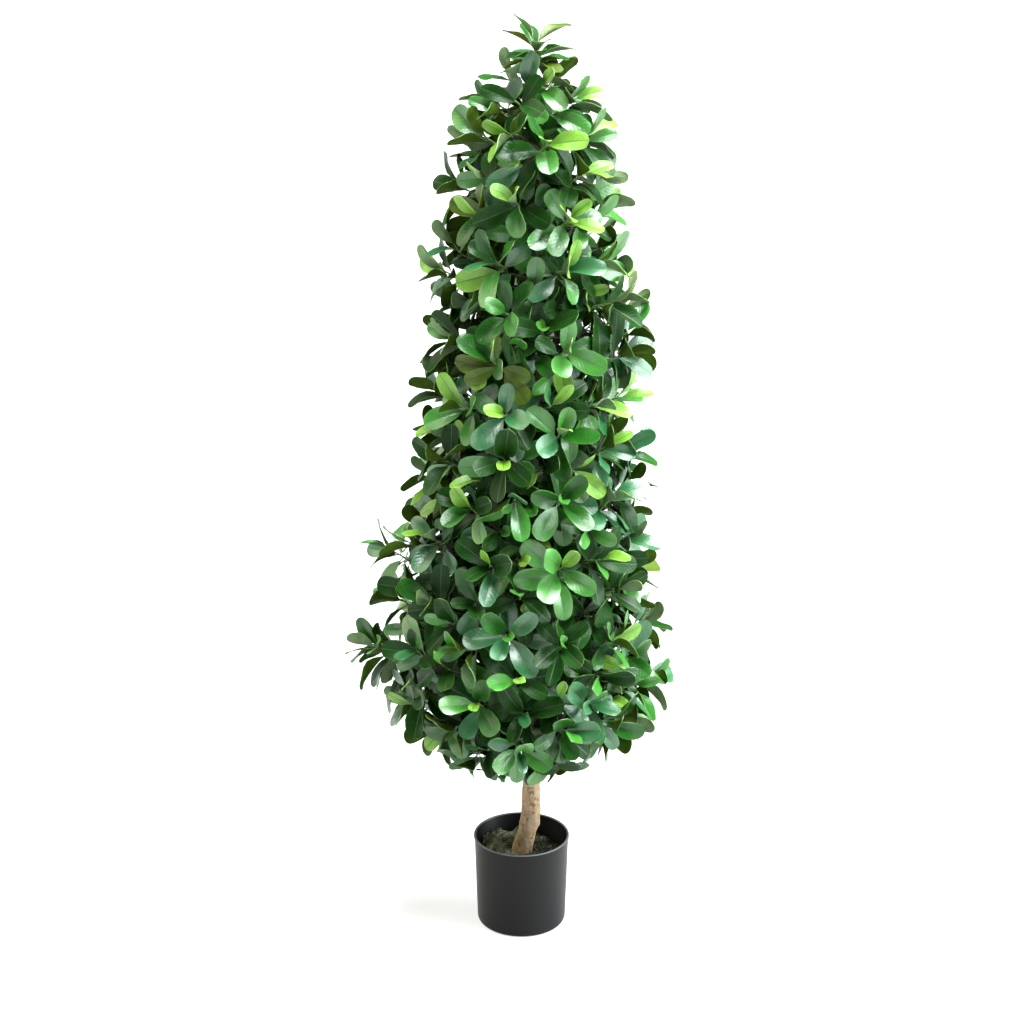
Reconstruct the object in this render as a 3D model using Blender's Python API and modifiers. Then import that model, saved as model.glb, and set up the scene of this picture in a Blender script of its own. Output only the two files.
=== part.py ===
"""Artificial ficus tree, grown as a tall cone, in its round plastic pot.

Metres, +Z up. The origin is the centre of the pot's flat underside, and the
front of the tree is what shows when looking along +Y.
"""

import math
import random

import bmesh
import bpy
from mathutils import Matrix, Vector
from mathutils.bvhtree import BVHTree

# Clearance between neighbouring pieces.
GAP = 0.0003

# Pot: a plain tapered cup with a thin bead round its rim.
POT_HEIGHT = 0.125
POT_TOP_RADIUS = 0.0628
POT_FOOT_RADIUS = 0.0590
POT_WALL = 0.0020
POT_FLOOR = 0.0030
POT_CORNER = 0.0060
BEAD_PROUD = 0.0012
BEAD_HEIGHT = 0.0032
TURNED_SIDES = 36

# Filling: cement that weighs the pot down, under a bed of dry moss.
CEMENT_TOP = 0.0860
MOSS_THICKNESS = 0.0085
MOSS_RINGS = (0.0, 0.30, 0.52, 0.74, 0.93, 1.0)
MOSS_LUMPS = 0.0035
MOSS_WAVES = (150.0, 130.0)
MOSS_FINE_WAVES = (310.0, 280.0)
MOSS_FINE_SHARE = 0.5

# Trunk: leans to the right out of the pot, then runs up through the crown.
TRUNK_FOOT = CEMENT_TOP + GAP
TRUNK_TOP = 1.048
TRUNK_FOOT_RADIUS = 0.0130
TRUNK_TOP_RADIUS = 0.0060
FLARE_PROUD = 0.0022
FLARE_HEIGHT = 0.0120
FOOT_OFFSET = -0.0008
LEAN = 0.0130
LEAN_TOP = 0.158
DRIFT = 0.0060
WAVE = 0.0015
WAVE_BACK = 0.0009
WAVE_LENGTH = 0.50
TRUNK_SIDES = 14
TRUNK_RINGS = 22
RING_CROWDING = 1.25

# Crown: how far the leaf tips reach from its axis, from the underside to the top.
CROWN_BOTTOM = 0.222
WIDEST_AT = 0.380
WIDEST_REACH = 0.200
SHOULDER_AT = 1.070
SHOULDER_REACH = 0.114
TIP_FROM = 1.140
TIP_REACH = 0.058
CROWN_TOP = 1.200
CROWN_LEAN = 0.016
UNDERSIDE_DEPTH = 0.02

# Single sprays that stand out of the cone: azimuth in degrees, height and reach.
STRAY_SPRAYS = (
    (184.0, 0.395, 0.242),
    (174.0, 0.515, 0.224),
    (2.0, 0.345, 0.212),
    (-8.0, 0.800, 0.178),
    (12.0, 0.640, 0.180),
    (186.0, 0.885, 0.156),
    (180.0, 0.985, 0.134),
)
STRAY_WIDTH = 0.42
STRAY_HEIGHT = 0.055

# Masses: the tiers follow cones that rise outward, and each is cut in sectors.
TIER_RISE = 0.45
TIER_FLOORS = (-1.0, 0.325, 0.520, 0.715, 0.890, 1.040)
TIER_MASSES = (5, 5, 5, 4, 3, 1)
TIER_ROSETTES = (6, 5, 5, 5, 4, 6)
TIER_TURN = 41.0
CROWN_SEED = 27

# Stems and twigs: three-sided, thinner at each branching.
STEM_RADIUS = 0.0042
TWIG_RADIUS = 0.0030
TIP_RADIUS = 0.0022
TWIG_SIDES = 3
STEM_LEVEL_RUN = 0.010
STEM_SHARE = 0.50
STEM_START = 0.45
TWIG_START = 0.85
TWIG_START_SPREAD = 0.08
FIRST_TWIG = 0.34
LAST_TWIG = 0.98
TWIG_TESTS = (0.35, 0.70)
LEAST_BEND = 0.6
BEND_STEP = 0.3
TRUNK_CLEARANCE = 0.004
SPACE_MARGIN = 0.0016

# Rosettes: where they sit under the crown's outline, and how they face.
ROSETTE_DEPTH = 0.060
ROSETTE_STALK = 0.026
ROSETTE_RISE = 0.12
ROSETTE_LIFT = 0.60
UNDERSIDE_DROOP = 0.90
TOP_LIFT = 1.20
FACING_SPREAD = 0.2
ANCHOR_MARGIN = 0.016
CANDIDATES = 260

# Leaves: obovate blades in rosettes, opening further down the twig.
LEAF_LENGTH = 0.082
LEAF_WIDTH = 0.041
LEAF_THICKNESS = 0.0022
LEAF_BEND = 0.10
LEAF_BELLY = 0.42
LEAF_ROUNDING = 0.6
LEAF_SIDES = 5
LEAF_BANDS = 2
LEAF_SIZES = (1.0, 0.82, 0.70)
LEAF_TESTS = (0.25, 0.50, 0.75)
LEAVES_A_ROSETTE = 6
FIRST_ROOT = 0.0020
LEAF_STEP = 0.0042
LEAF_TURNS = (0.0, 0.35, -0.35, 0.75, -0.75)
ROOT_SINK = 0.0008
FIRST_OPENING = 16.0
LAST_OPENING = 84.0
OPENING_SPREAD = 8.0
GOLDEN_ANGLE = math.radians(137.5)

COLLECTION = "ficus_tree"


def mix(start, end, share):
    """The value at a share of the way from start to end."""
    return start + (end - start) * share


def smooth(share):
    """An eased share, level at 0 and at 1."""
    share = min(max(share, 0.0), 1.0)
    return share * share * (3.0 - 2.0 * share)


def outward(azimuth):
    """The level direction at an azimuth, 0 along +X."""
    return Vector((math.cos(azimuth), math.sin(azimuth), 0.0))


def clear_scene():
    for item in list(bpy.data.objects):
        bpy.data.objects.remove(item, do_unlink=True)


def make_material(name, colour, roughness):
    material = bpy.data.materials.new(name)
    material.use_nodes = True
    shader = material.node_tree.nodes["Principled BSDF"]
    shader.inputs["Base Color"].default_value = (*colour, 1.0)
    shader.inputs["Roughness"].default_value = roughness
    shader.inputs["Metallic"].default_value = 0.0
    return material


def add_object(name, mesh, collection, material=None):
    item = bpy.data.objects.new(name, mesh)
    collection.objects.link(item)
    if material:
        mesh.materials.append(material)
    return item


def evaluated_mesh(item):
    """A new mesh with the object's modifiers applied."""
    bpy.context.view_layer.update()
    graph = bpy.context.evaluated_depsgraph_get()
    return bpy.data.meshes.new_from_object(item.evaluated_get(graph))


def finish_bmesh(bm, name):
    bmesh.ops.recalc_face_normals(bm, faces=bm.faces[:])
    mesh = bpy.data.meshes.new(name)
    bm.to_mesh(mesh)
    bm.free()
    return mesh


def shade_round(mesh, sharp_angle=40.0):
    mesh.shade_smooth()
    mesh.set_sharp_from_angle(angle=math.radians(sharp_angle))


def turned_object(name, profile, collection, material):
    """A solid of revolution; its profile holds (radius, height) points."""
    mesh = bpy.data.meshes.new(name)
    points = [(radius, 0.0, height) for radius, height in profile]
    edges = [(i, i + 1) for i in range(len(points) - 1)]
    mesh.from_pydata(points, edges, [])
    item = add_object(name, mesh, collection, material)
    screw = item.modifiers.new("Turn", "SCREW")
    screw.axis = "Z"
    screw.steps = TURNED_SIDES
    screw.render_steps = TURNED_SIDES
    screw.use_merge_vertices = True
    screw.merge_threshold = 0.00001
    return item


def pot_radius(height):
    """The pot's outer radius under its bead."""
    return mix(POT_FOOT_RADIUS, POT_TOP_RADIUS, height / POT_HEIGHT)


def corner_arc(steps=4):
    """Points round the pot's lower edge, from the side to the underside."""
    centre = pot_radius(POT_CORNER) - POT_CORNER
    for i in range(steps + 1):
        angle = math.radians(90.0) * i / steps
        across = centre + POT_CORNER * math.cos(angle)
        yield across, POT_CORNER * (1.0 - math.sin(angle))


def make_pot(collection):
    bead = pot_radius(POT_HEIGHT) + BEAD_PROUD
    inside = pot_radius(POT_HEIGHT) - POT_WALL
    under_bead = POT_HEIGHT - BEAD_HEIGHT
    profile = [
        (0.0, POT_FLOOR),
        (pot_radius(POT_FLOOR) - POT_WALL, POT_FLOOR),
        (inside, POT_HEIGHT - BEAD_PROUD),
        (inside + BEAD_PROUD / 2, POT_HEIGHT),
        (bead - BEAD_PROUD / 2, POT_HEIGHT),
        (bead, POT_HEIGHT - BEAD_PROUD),
        (bead, under_bead + BEAD_PROUD),
        (pot_radius(under_bead), under_bead),
        *corner_arc(),
        (0.0, 0.0),
    ]
    material = make_material("pot_plastic", (0.028, 0.030, 0.033), 0.38)
    turned_object("pot", profile, collection, material)


def fill_radius(height):
    """The radius of what fills the pot, clear of its inner wall."""
    return pot_radius(height) - POT_WALL - GAP


def make_cement(collection):
    bottom = POT_FLOOR + GAP
    profile = [
        (0.0, CEMENT_TOP),
        (fill_radius(CEMENT_TOP), CEMENT_TOP),
        (fill_radius(bottom), bottom),
        (0.0, bottom),
    ]
    material = make_material("cement", (0.32, 0.31, 0.29), 0.9)
    turned_object("cement_fill", profile, collection, material)


def moss_lump(across, along):
    """How far the moss swells at a place, higher at the tree's left."""
    swell = math.sin(across * MOSS_WAVES[0] + 1.0) * math.cos(along * MOSS_WAVES[1])
    fine = math.sin(across * MOSS_FINE_WAVES[0]) * math.sin(along * MOSS_FINE_WAVES[1] + 2.0)
    return MOSS_LUMPS * (swell + MOSS_FINE_SHARE * fine - across / POT_TOP_RADIUS)


def make_moss(collection, cutters):
    """The bed of moss: a lumpy disc, cut clear of the trunk."""
    bottom = CEMENT_TOP + GAP
    top = bottom + MOSS_THICKNESS
    edge = fill_radius(bottom)
    profile = [(edge * share, top) for share in MOSS_RINGS]
    profile += [(edge, bottom), (0.0, bottom)]
    material = make_material("dry_moss", (0.16, 0.18, 0.12), 1.0)
    blank = turned_object("moss_blank", profile, cutters, material)
    mesh = evaluated_mesh(blank)
    bpy.data.objects.remove(blank, do_unlink=True)
    for vertex in mesh.vertices:
        if vertex.co.z > bottom + GAP:
            vertex.co.z += moss_lump(vertex.co.x, vertex.co.y)
    moss = bpy.data.objects.new("moss_bed", mesh)
    collection.objects.link(moss)

    bore = add_object("trunk_bore", trunk_mesh("trunk_bore", GAP, 0.02), cutters)
    bore.hide_render = True
    bore.display_type = "WIRE"
    cut = moss.modifiers.new("Trunk hole", "BOOLEAN")
    cut.operation = "DIFFERENCE"
    cut.solver = "EXACT"
    cut.object = bore


def trunk_centre(height):
    """The middle of the trunk at a height."""
    lean = LEAN * smooth((height - TRUNK_FOOT) / (LEAN_TOP - TRUNK_FOOT))
    risen = max(height - LEAN_TOP, 0.0)
    drift = DRIFT * risen / (TRUNK_TOP - LEAN_TOP)
    wave = math.sin(math.tau * risen / WAVE_LENGTH)
    return Vector((FOOT_OFFSET + lean + drift + WAVE * wave, WAVE_BACK * wave, height))


def trunk_radius(height):
    """The trunk tapers evenly, and spreads a little at its foot."""
    share = min(max((height - TRUNK_FOOT) / (TRUNK_TOP - TRUNK_FOOT), 0.0), 1.0)
    flare = FLARE_PROUD * math.exp((TRUNK_FOOT - height) / FLARE_HEIGHT)
    return mix(TRUNK_FOOT_RADIUS, TRUNK_TOP_RADIUS, share) + min(flare, FLARE_PROUD)


def trunk_mesh(name, grow=0.0, reach_down=0.0):
    """Level rings from the foot to the tip, closer together where it bends."""
    shares = [(i / TRUNK_RINGS) ** RING_CROWDING for i in range(TRUNK_RINGS + 1)]
    heights = [mix(TRUNK_FOOT, TRUNK_TOP, share) for share in shares]
    if reach_down:
        heights.insert(0, TRUNK_FOOT - reach_down)
    bm = bmesh.new()
    foot_radius = trunk_radius(heights[0]) + grow
    bmesh.ops.create_circle(bm, cap_ends=True, segments=TRUNK_SIDES, radius=foot_radius)
    bmesh.ops.translate(bm, verts=bm.verts[:], vec=trunk_centre(heights[0]))
    foot = bm.edges[:]
    cap = bm.faces[:][0]
    for low, high in zip(heights, heights[1:]):
        cap = bmesh.ops.extrude_discrete_faces(bm, faces=[cap])["faces"][0]
        scale = (trunk_radius(high) + grow) / (trunk_radius(low) + grow)
        about = Matrix.Translation(-trunk_centre(low))
        bmesh.ops.scale(bm, verts=cap.verts[:], vec=(scale, scale, 1.0), space=about)
        bmesh.ops.translate(bm, verts=cap.verts[:], vec=trunk_centre(high) - trunk_centre(low))
    bmesh.ops.contextual_create(bm, geom=foot)
    return finish_bmesh(bm, name)


def make_trunk(collection):
    mesh = trunk_mesh("trunk")
    shade_round(mesh)
    add_object("trunk", mesh, collection, make_material("bark", (0.47, 0.33, 0.20), 0.75))


def crown_centre(height):
    """The axis that the crown's reach is measured from."""
    share = (height - CROWN_BOTTOM) / (CROWN_TOP - CROWN_BOTTOM)
    return Vector((CROWN_LEAN * share, 0.0, height))


def crown_reach(azimuth, height):
    """How far the leaf tips reach from the crown's axis, at an azimuth and height."""
    if height < CROWN_BOTTOM or height > CROWN_TOP:
        return 0.0
    if height < WIDEST_AT:
        drop = (WIDEST_AT - height) / (WIDEST_AT - CROWN_BOTTOM)
        reach = WIDEST_REACH * math.sqrt(1.0 - drop * drop)
    elif height < SHOULDER_AT:
        share = (height - WIDEST_AT) / (SHOULDER_AT - WIDEST_AT)
        reach = mix(WIDEST_REACH, SHOULDER_REACH, share)
    else:
        share = (height - SHOULDER_AT) / (TIP_FROM - SHOULDER_AT)
        reach = mix(SHOULDER_REACH, TIP_REACH, min(share, 1.0))
    for stray_azimuth, stray_height, stray_reach in STRAY_SPRAYS:
        turn = math.remainder(azimuth - math.radians(stray_azimuth), math.tau) / STRAY_WIDTH
        rise = (height - stray_height) / STRAY_HEIGHT
        reach += max(stray_reach - reach, 0.0) * math.exp(-turn * turn - rise * rise)
    return reach


class Space:
    """The room that one mass keeps to: a sector of a tier, round the trunk."""

    def __init__(self, tier, sector):
        count = TIER_MASSES[tier]
        self.floor = TIER_FLOORS[tier]
        self.ceiling = (*TIER_FLOORS, CROWN_TOP)[tier + 1]
        self.half_angle = math.pi / count
        self.azimuth = math.radians(TIER_TURN * tier) + math.tau * sector / count
        self.whole = count == 1
        self.is_top = tier == len(TIER_MASSES) - 1

    def holds(self, point, margin):
        """Whether a point lies inside the space by at least the margin."""
        from_trunk = point - trunk_centre(point.z)
        run = math.hypot(from_trunk.x, from_trunk.y)
        level = point.z - TIER_RISE * run
        slant = margin * math.hypot(1.0, TIER_RISE)
        if level < self.floor + slant:
            return False
        if not self.is_top and level > self.ceiling - slant:
            return False
        if not self.whole:
            turn = math.remainder(math.atan2(from_trunk.y, from_trunk.x) - self.azimuth, math.tau)
            room = self.half_angle - abs(turn)
            if room < 0.0 or run * math.sin(min(room, math.pi / 2)) < margin:
                return False
        from_axis = point - crown_centre(point.z)
        azimuth = math.atan2(from_axis.y, from_axis.x)
        return math.hypot(from_axis.x, from_axis.y) <= crown_reach(azimuth, point.z)

    def stem_points(self):
        """The stem: level where it meets the trunk, then curving up and out."""
        if self.is_top:
            start = trunk_centre(TRUNK_TOP) + Vector((0.0, 0.0, GAP))
            end = crown_centre(CROWN_TOP - ROSETTE_DEPTH)
            return [start, start.lerp(end, 0.5), end]
        direction = outward(self.azimuth)
        lowest = max(self.floor, CROWN_BOTTOM + UNDERSIDE_DEPTH)
        middle = mix(lowest, self.ceiling, STEM_START)
        start = trunk_centre(middle) + direction * (trunk_radius(middle) + GAP)
        run = STEM_SHARE * crown_reach(self.azimuth, middle)
        end = start + direction * run + Vector((0.0, 0.0, TIER_RISE * run))
        level_end = start + direction * STEM_LEVEL_RUN
        return [start, level_end, level_end.lerp(end, 0.5), end]


def rosette_anchor(azimuth, height):
    """Where a rosette sits so that its leaves just reach the crown's outline."""
    reach = crown_reach(azimuth, height) - ROSETTE_DEPTH
    return crown_centre(height) + outward(azimuth) * max(reach, 0.0)


def place_anchors(space, count, taken, draw):
    """Spread the mass's rosettes, each as far as can be from all others."""
    anchors = []
    for azimuth, height, _ in STRAY_SPRAYS:
        stray = rosette_anchor(math.radians(azimuth), height)
        if space.holds(stray, ANCHOR_MARGIN / 2):
            anchors.append(stray)
    low = max(space.floor, CROWN_BOTTOM + UNDERSIDE_DEPTH)
    high = CROWN_TOP - ROSETTE_DEPTH if space.is_top else space.ceiling + ROSETTE_RISE
    choices = []
    for _ in range(CANDIDATES):
        azimuth = space.azimuth + draw.uniform(-1.0, 1.0) * space.half_angle
        choice = rosette_anchor(azimuth, draw.uniform(low, high))
        if space.holds(choice, ANCHOR_MARGIN):
            choices.append(choice)
    while choices and len(anchors) < count:
        others = taken + anchors
        best = max(choices, key=lambda choice: distance_to_nearest(choice, others))
        choices.remove(best)
        anchors.append(best)
    taken.extend(anchors)
    return anchors


def distance_to_nearest(point, others):
    return min(((point - other).length for other in others), default=math.inf)


def rosette_direction(anchor, draw):
    """Rosettes face out of the crown and lift towards the light."""
    facing = anchor - crown_centre(anchor.z)
    facing.z = 0.0
    facing = facing.normalized() if facing.length > GAP else Vector()
    below = smooth((WIDEST_AT - anchor.z) / (WIDEST_AT - CROWN_BOTTOM))
    above = smooth((anchor.z - SHOULDER_AT) / (CROWN_TOP - SHOULDER_AT))
    lift = mix(ROSETTE_LIFT, -UNDERSIDE_DROOP, below) + TOP_LIFT * above
    jitter = Vector([draw.uniform(-FACING_SPREAD, FACING_SPREAD) for _ in range(3)])
    return (facing + Vector((0.0, 0.0, lift)) + jitter).normalized()


def tube_mesh(name, points, radii):
    """A three-sided tube through points, capped at both ends."""
    headings = [(b - a).normalized() for a, b in zip(points, points[1:])]
    headings.append(headings[-1])
    bm = bmesh.new()
    bmesh.ops.create_circle(bm, cap_ends=True, segments=TWIG_SIDES, radius=radii[0])
    turn = Vector((0.0, 0.0, 1.0)).rotation_difference(headings[0]).to_matrix()
    bmesh.ops.rotate(bm, verts=bm.verts[:], matrix=turn)
    bmesh.ops.translate(bm, verts=bm.verts[:], vec=points[0])
    root = bm.edges[:]
    cap = bm.faces[:][0]
    for i in range(1, len(points)):
        cap = bmesh.ops.extrude_discrete_faces(bm, faces=[cap])["faces"][0]
        about = Matrix.Translation(-points[i - 1])
        turn = headings[i - 1].rotation_difference(headings[i])
        scale = radii[i] / radii[i - 1]
        bmesh.ops.scale(bm, verts=cap.verts[:], vec=(scale, scale, scale), space=about)
        bmesh.ops.rotate(bm, verts=cap.verts[:], cent=points[i - 1], matrix=turn.to_matrix())
        bmesh.ops.translate(bm, verts=cap.verts[:], vec=points[i] - points[i - 1])
    bmesh.ops.contextual_create(bm, geom=root)
    return finish_bmesh(bm, name)


def leaf_mesh():
    """An obovate blade along -Y from its root: a flattened, bent sphere."""
    bm = bmesh.new()
    bmesh.ops.create_uvsphere(bm, u_segments=LEAF_SIDES, v_segments=LEAF_BANDS, radius=1.0)
    for vertex in bm.verts:
        across, back, up = vertex.co
        is_middle = abs(up) > 0.5
        share = LEAF_BELLY if is_middle else ((1.0 - back) / 2.0) ** LEAF_ROUNDING
        vertex.co.x = across * LEAF_WIDTH / 2.0
        vertex.co.y = -share * LEAF_LENGTH
        vertex.co.z = up * LEAF_THICKNESS / 2.0 - LEAF_BEND * LEAF_LENGTH * share * share
    return finish_bmesh(bm, "leaf")


def leaf_test_points(leaf):
    """Points all over a leaf: its corners, its midrib, and halfway between."""
    corners = [vertex.co.copy() for vertex in leaf.vertices if vertex.co.y < -GAP]
    midrib = [Vector((0.0, -share * LEAF_LENGTH, 0.0)) for share in LEAF_TESTS]
    halfway = [corner.lerp(midrib[1], 0.5) for corner in corners]
    return corners + midrib + halfway


def leaf_frame(root, along, face, size):
    """The placing of a leaf that runs along one direction and faces another."""
    across = face.cross(along).normalized()
    face = along.cross(across).normalized()
    turn = Matrix((across, -along, face)).transposed()
    return Matrix.LocRotScale(root, turn, Vector((size, size, size)))


def surface(mesh, frame=None):
    """A mesh's faces, where a frame places them, ready to test what crosses them."""
    frame = frame or Matrix()
    points = [frame @ vertex.co for vertex in mesh.vertices]
    return BVHTree.FromPolygons(points, [face.vertices[:] for face in mesh.polygons])


class Mass:
    """One mass of foliage: a stem, its twigs and their rosettes, then fused."""

    def __init__(self, name, space, leaf, trunk_guard, seed):
        self.name = name
        self.space = space
        self.leaf = leaf
        self.leaf_points = leaf_test_points(leaf)
        self.trunk_guard = trunk_guard
        self.draw = random.Random(seed)
        self.rosettes = []
        self.blades = []
        self.parts = bpy.data.collections.new(name + "_parts")
        bpy.context.scene.collection.children.link(self.parts)

    def grow(self, rosettes, taken):
        """Grow the stem, then every twig, then the leaves that find room."""
        stem = self.space.stem_points()
        radii = [mix(STEM_RADIUS, TWIG_RADIUS, i / (len(stem) - 1)) for i in range(len(stem))]
        self.stem_mesh = tube_mesh(self.name, stem, radii)
        self.stem_surface = surface(self.stem_mesh)
        if self.space.is_top:
            self.rosettes.append((stem[-1], (stem[-1] - stem[0]).normalized(), self.stem_surface))
            taken.append(stem[-1])
        for anchor in place_anchors(self.space, rosettes, taken, self.draw):
            self.grow_twig(stem, anchor)
        for rosette in self.rosettes:
            self.grow_rosette(*rosette)

    def grow_twig(self, stem, anchor):
        facing = rosette_direction(anchor, self.draw)
        heading = (anchor - stem[1]).normalized()
        while heading.dot(facing) < LEAST_BEND:
            facing = (facing + BEND_STEP * heading).normalized()
        foot = anchor - facing * ROSETTE_STALK
        reach = (foot - stem[0]).length / ((stem[-1] - stem[0]).length + ROSETTE_DEPTH)
        share = TWIG_START * reach + self.draw.uniform(-TWIG_START_SPREAD, TWIG_START_SPREAD)
        place = min(max(share, FIRST_TWIG), LAST_TWIG) * (len(stem) - 1)
        step = min(int(place), len(stem) - 2)
        start = stem[step].lerp(stem[step + 1], place - step)
        along = [start.lerp(foot, test) for test in TWIG_TESTS]
        along += [foot, foot.lerp(anchor, 0.5), anchor]
        if not all(self.space.holds(point, TWIG_RADIUS + SPACE_MARGIN) for point in along):
            return
        tube = tube_mesh("twig", [start, foot, anchor], [TWIG_RADIUS, TIP_RADIUS, TIP_RADIUS])
        twig_surface = surface(tube)
        if twig_surface.overlap(self.trunk_guard):
            return
        add_object("twig", tube, self.parts)
        self.rosettes.append((anchor, facing, twig_surface))

    def grow_rosette(self, anchor, facing, own_twig):
        twigs = [self.stem_surface] + [twig for _, _, twig in self.rosettes]
        limbs = [self.trunk_guard] + [twig for twig in twigs if twig is not own_twig]
        side = facing.orthogonal().normalized()
        turn = self.draw.uniform(0.0, math.tau)
        for i in range(LEAVES_A_ROSETTE):
            turn += GOLDEN_ANGLE
            opening = mix(FIRST_OPENING, LAST_OPENING, i / (LEAVES_A_ROSETTE - 1))
            opening += self.draw.uniform(-OPENING_SPREAD, OPENING_SPREAD)
            root = anchor - facing * (FIRST_ROOT + LEAF_STEP * i)
            self.grow_leaf(root, facing, side, turn, math.radians(opening), limbs)

    def grow_leaf(self, root, facing, side, turn, opening, limbs):
        """Try a few sizes and turns, and skip the leaf if none finds room."""
        for size in LEAF_SIZES:
            for shift in LEAF_TURNS:
                away = Matrix.Rotation(turn + shift, 3, facing) @ side
                along = facing * math.cos(opening) + away * math.sin(opening)
                face = facing * math.sin(opening) - away * math.cos(opening)
                frame = leaf_frame(root - away * ROOT_SINK, along, face, size)
                points = [frame @ point for point in self.leaf_points]
                if not all(self.space.holds(point, SPACE_MARGIN) for point in points):
                    continue
                blade = surface(self.leaf, frame)
                if any(blade.overlap(other) for other in limbs + self.blades):
                    continue
                self.blades.append(blade)
                add_object("leaf", self.leaf, self.parts).matrix_world = frame
                return

    def fuse(self, collection, material):
        """Join stem, twigs and leaves in one union, and keep the one closed body."""
        stem = add_object(self.name, self.stem_mesh, collection, material)
        union = stem.modifiers.new("Join", "BOOLEAN")
        union.operation = "UNION"
        union.operand_type = "COLLECTION"
        union.collection = self.parts
        for solver in ("EXACT", "MANIFOLD"):
            union.solver = solver
            joined = evaluated_mesh(stem)
            if is_closed(joined):
                break
        stem.modifiers.clear()
        stem.data = joined
        for part in list(self.parts.objects):
            bpy.data.objects.remove(part, do_unlink=True)
        bpy.data.collections.remove(self.parts)
        keep_largest_body(joined)


def is_closed(mesh):
    """Whether every edge joins just two faces."""
    bm = bmesh.new()
    bm.from_mesh(mesh)
    closed = all(edge.is_manifold for edge in bm.edges)
    bm.free()
    return closed


def keep_largest_body(mesh):
    """Drop loose scraps, and the walls of hollows that the union sealed."""
    bm = bmesh.new()
    bm.from_mesh(mesh)
    left = set(bm.faces)
    bodies = []
    while left:
        body = set()
        edge_of_body = [left.pop()]
        while edge_of_body:
            face = edge_of_body.pop()
            body.add(face)
            near = {other for edge in face.edges for other in edge.link_faces} & left
            left -= near
            edge_of_body.extend(near)
        bodies.append(body)
    bodies.sort(key=len)
    scraps = [face for body in bodies[:-1] for face in body]
    bmesh.ops.delete(bm, geom=scraps, context="FACES")
    bm.to_mesh(mesh)
    bm.free()


def make_crown(collection):
    leaf = leaf_mesh()
    material = make_material("leaf_green", (0.045, 0.16, 0.035), 0.42)
    leaf.materials.append(material)
    trunk_guard = surface(trunk_mesh("trunk_guard", TRUNK_CLEARANCE))
    taken = []
    for tier, count in enumerate(TIER_MASSES):
        for sector in range(count):
            space = Space(tier, sector)
            name = "foliage_top" if space.is_top else f"foliage_{tier + 1}_{sector + 1}"
            seed = CROWN_SEED + 10 * tier + sector
            mass = Mass(name, space, leaf, trunk_guard, seed)
            mass.grow(TIER_ROSETTES[tier], taken)
            mass.fuse(collection, material)


def main():
    clear_scene()
    collection = bpy.data.collections.new(COLLECTION)
    cutters = bpy.data.collections.new("cutters")
    for group in (collection, cutters):
        bpy.context.scene.collection.children.link(group)
    make_pot(collection)
    make_cement(collection)
    make_moss(collection, cutters)
    make_trunk(collection)
    make_crown(collection)


main()
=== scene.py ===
import collections
import functools
import itertools
import math
import random

import bmesh
import bpy
import numpy as np
from bpy.props import FloatProperty, FloatVectorProperty, IntProperty, PointerProperty
from mathutils import Matrix, Vector, noise
from mathutils.bvhtree import BVHTree


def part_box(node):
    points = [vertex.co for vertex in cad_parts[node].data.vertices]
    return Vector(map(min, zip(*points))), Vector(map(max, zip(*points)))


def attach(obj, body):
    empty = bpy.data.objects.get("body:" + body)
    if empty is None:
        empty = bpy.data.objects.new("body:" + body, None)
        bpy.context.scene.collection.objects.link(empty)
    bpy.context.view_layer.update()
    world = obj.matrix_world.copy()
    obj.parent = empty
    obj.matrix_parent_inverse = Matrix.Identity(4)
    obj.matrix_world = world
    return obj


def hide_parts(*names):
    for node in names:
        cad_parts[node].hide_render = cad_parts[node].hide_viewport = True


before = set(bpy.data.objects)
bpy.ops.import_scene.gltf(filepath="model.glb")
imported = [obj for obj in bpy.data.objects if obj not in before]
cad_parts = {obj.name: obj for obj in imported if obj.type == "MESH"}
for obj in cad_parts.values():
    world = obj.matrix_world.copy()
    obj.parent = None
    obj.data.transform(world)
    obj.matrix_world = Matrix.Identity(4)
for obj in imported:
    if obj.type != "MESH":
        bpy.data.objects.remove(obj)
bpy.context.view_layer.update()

bl_info = {
    "name": "Potted ficus tree",
    "version": (1, 0, 0),
    "blender": (4, 5, 0),
    "location": "View3D > Sidebar > Ficus",
    "description": "Grows and finishes an artificial ficus tree in its pot",
    "category": "Object",
}

POT_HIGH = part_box("pot")[1]
MOSS_LOW, MOSS_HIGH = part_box("moss_bed")
TRUNK_LOW, TRUNK_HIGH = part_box("trunk")
MASSES = sorted(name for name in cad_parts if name.startswith("foliage_"))
UP = Vector((0.0, 0.0, 1.0))
GAP = 0.0003

# Angles in degrees past which an edge stays sharp, and the sides of the tubes.
POT_SHARP = 50.0
TUBE_SHARP = 60.0
LEAF_SHARP = 48.0
STRAND_SIDES = 3
TWIG_SIDES = 6
GUARD_SIDES = 10

# The pot's floor, lip and bead, and the height that its inside starts at.
POT_FLOOR = 0.003
LIP_ROUND = 0.0012
LIP_BAND = 0.0016
BEAD_CORNER = 0.0008
BEAD_FILLET = (0.0001, 0.0004)
INSIDE_FROM = 0.0020

# The pot's finishes, in the order of its slots: how much paler than its plastic, and the shine. The
# inside is painted darker as shade, and the lip much paler as a painted highlight.
POT_FINISHES = {"pot_plastic": (1.0, 0.118), "pot_inside": (0.7, 0.12), "pot_lip": (13.5, 0.30)}

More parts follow.
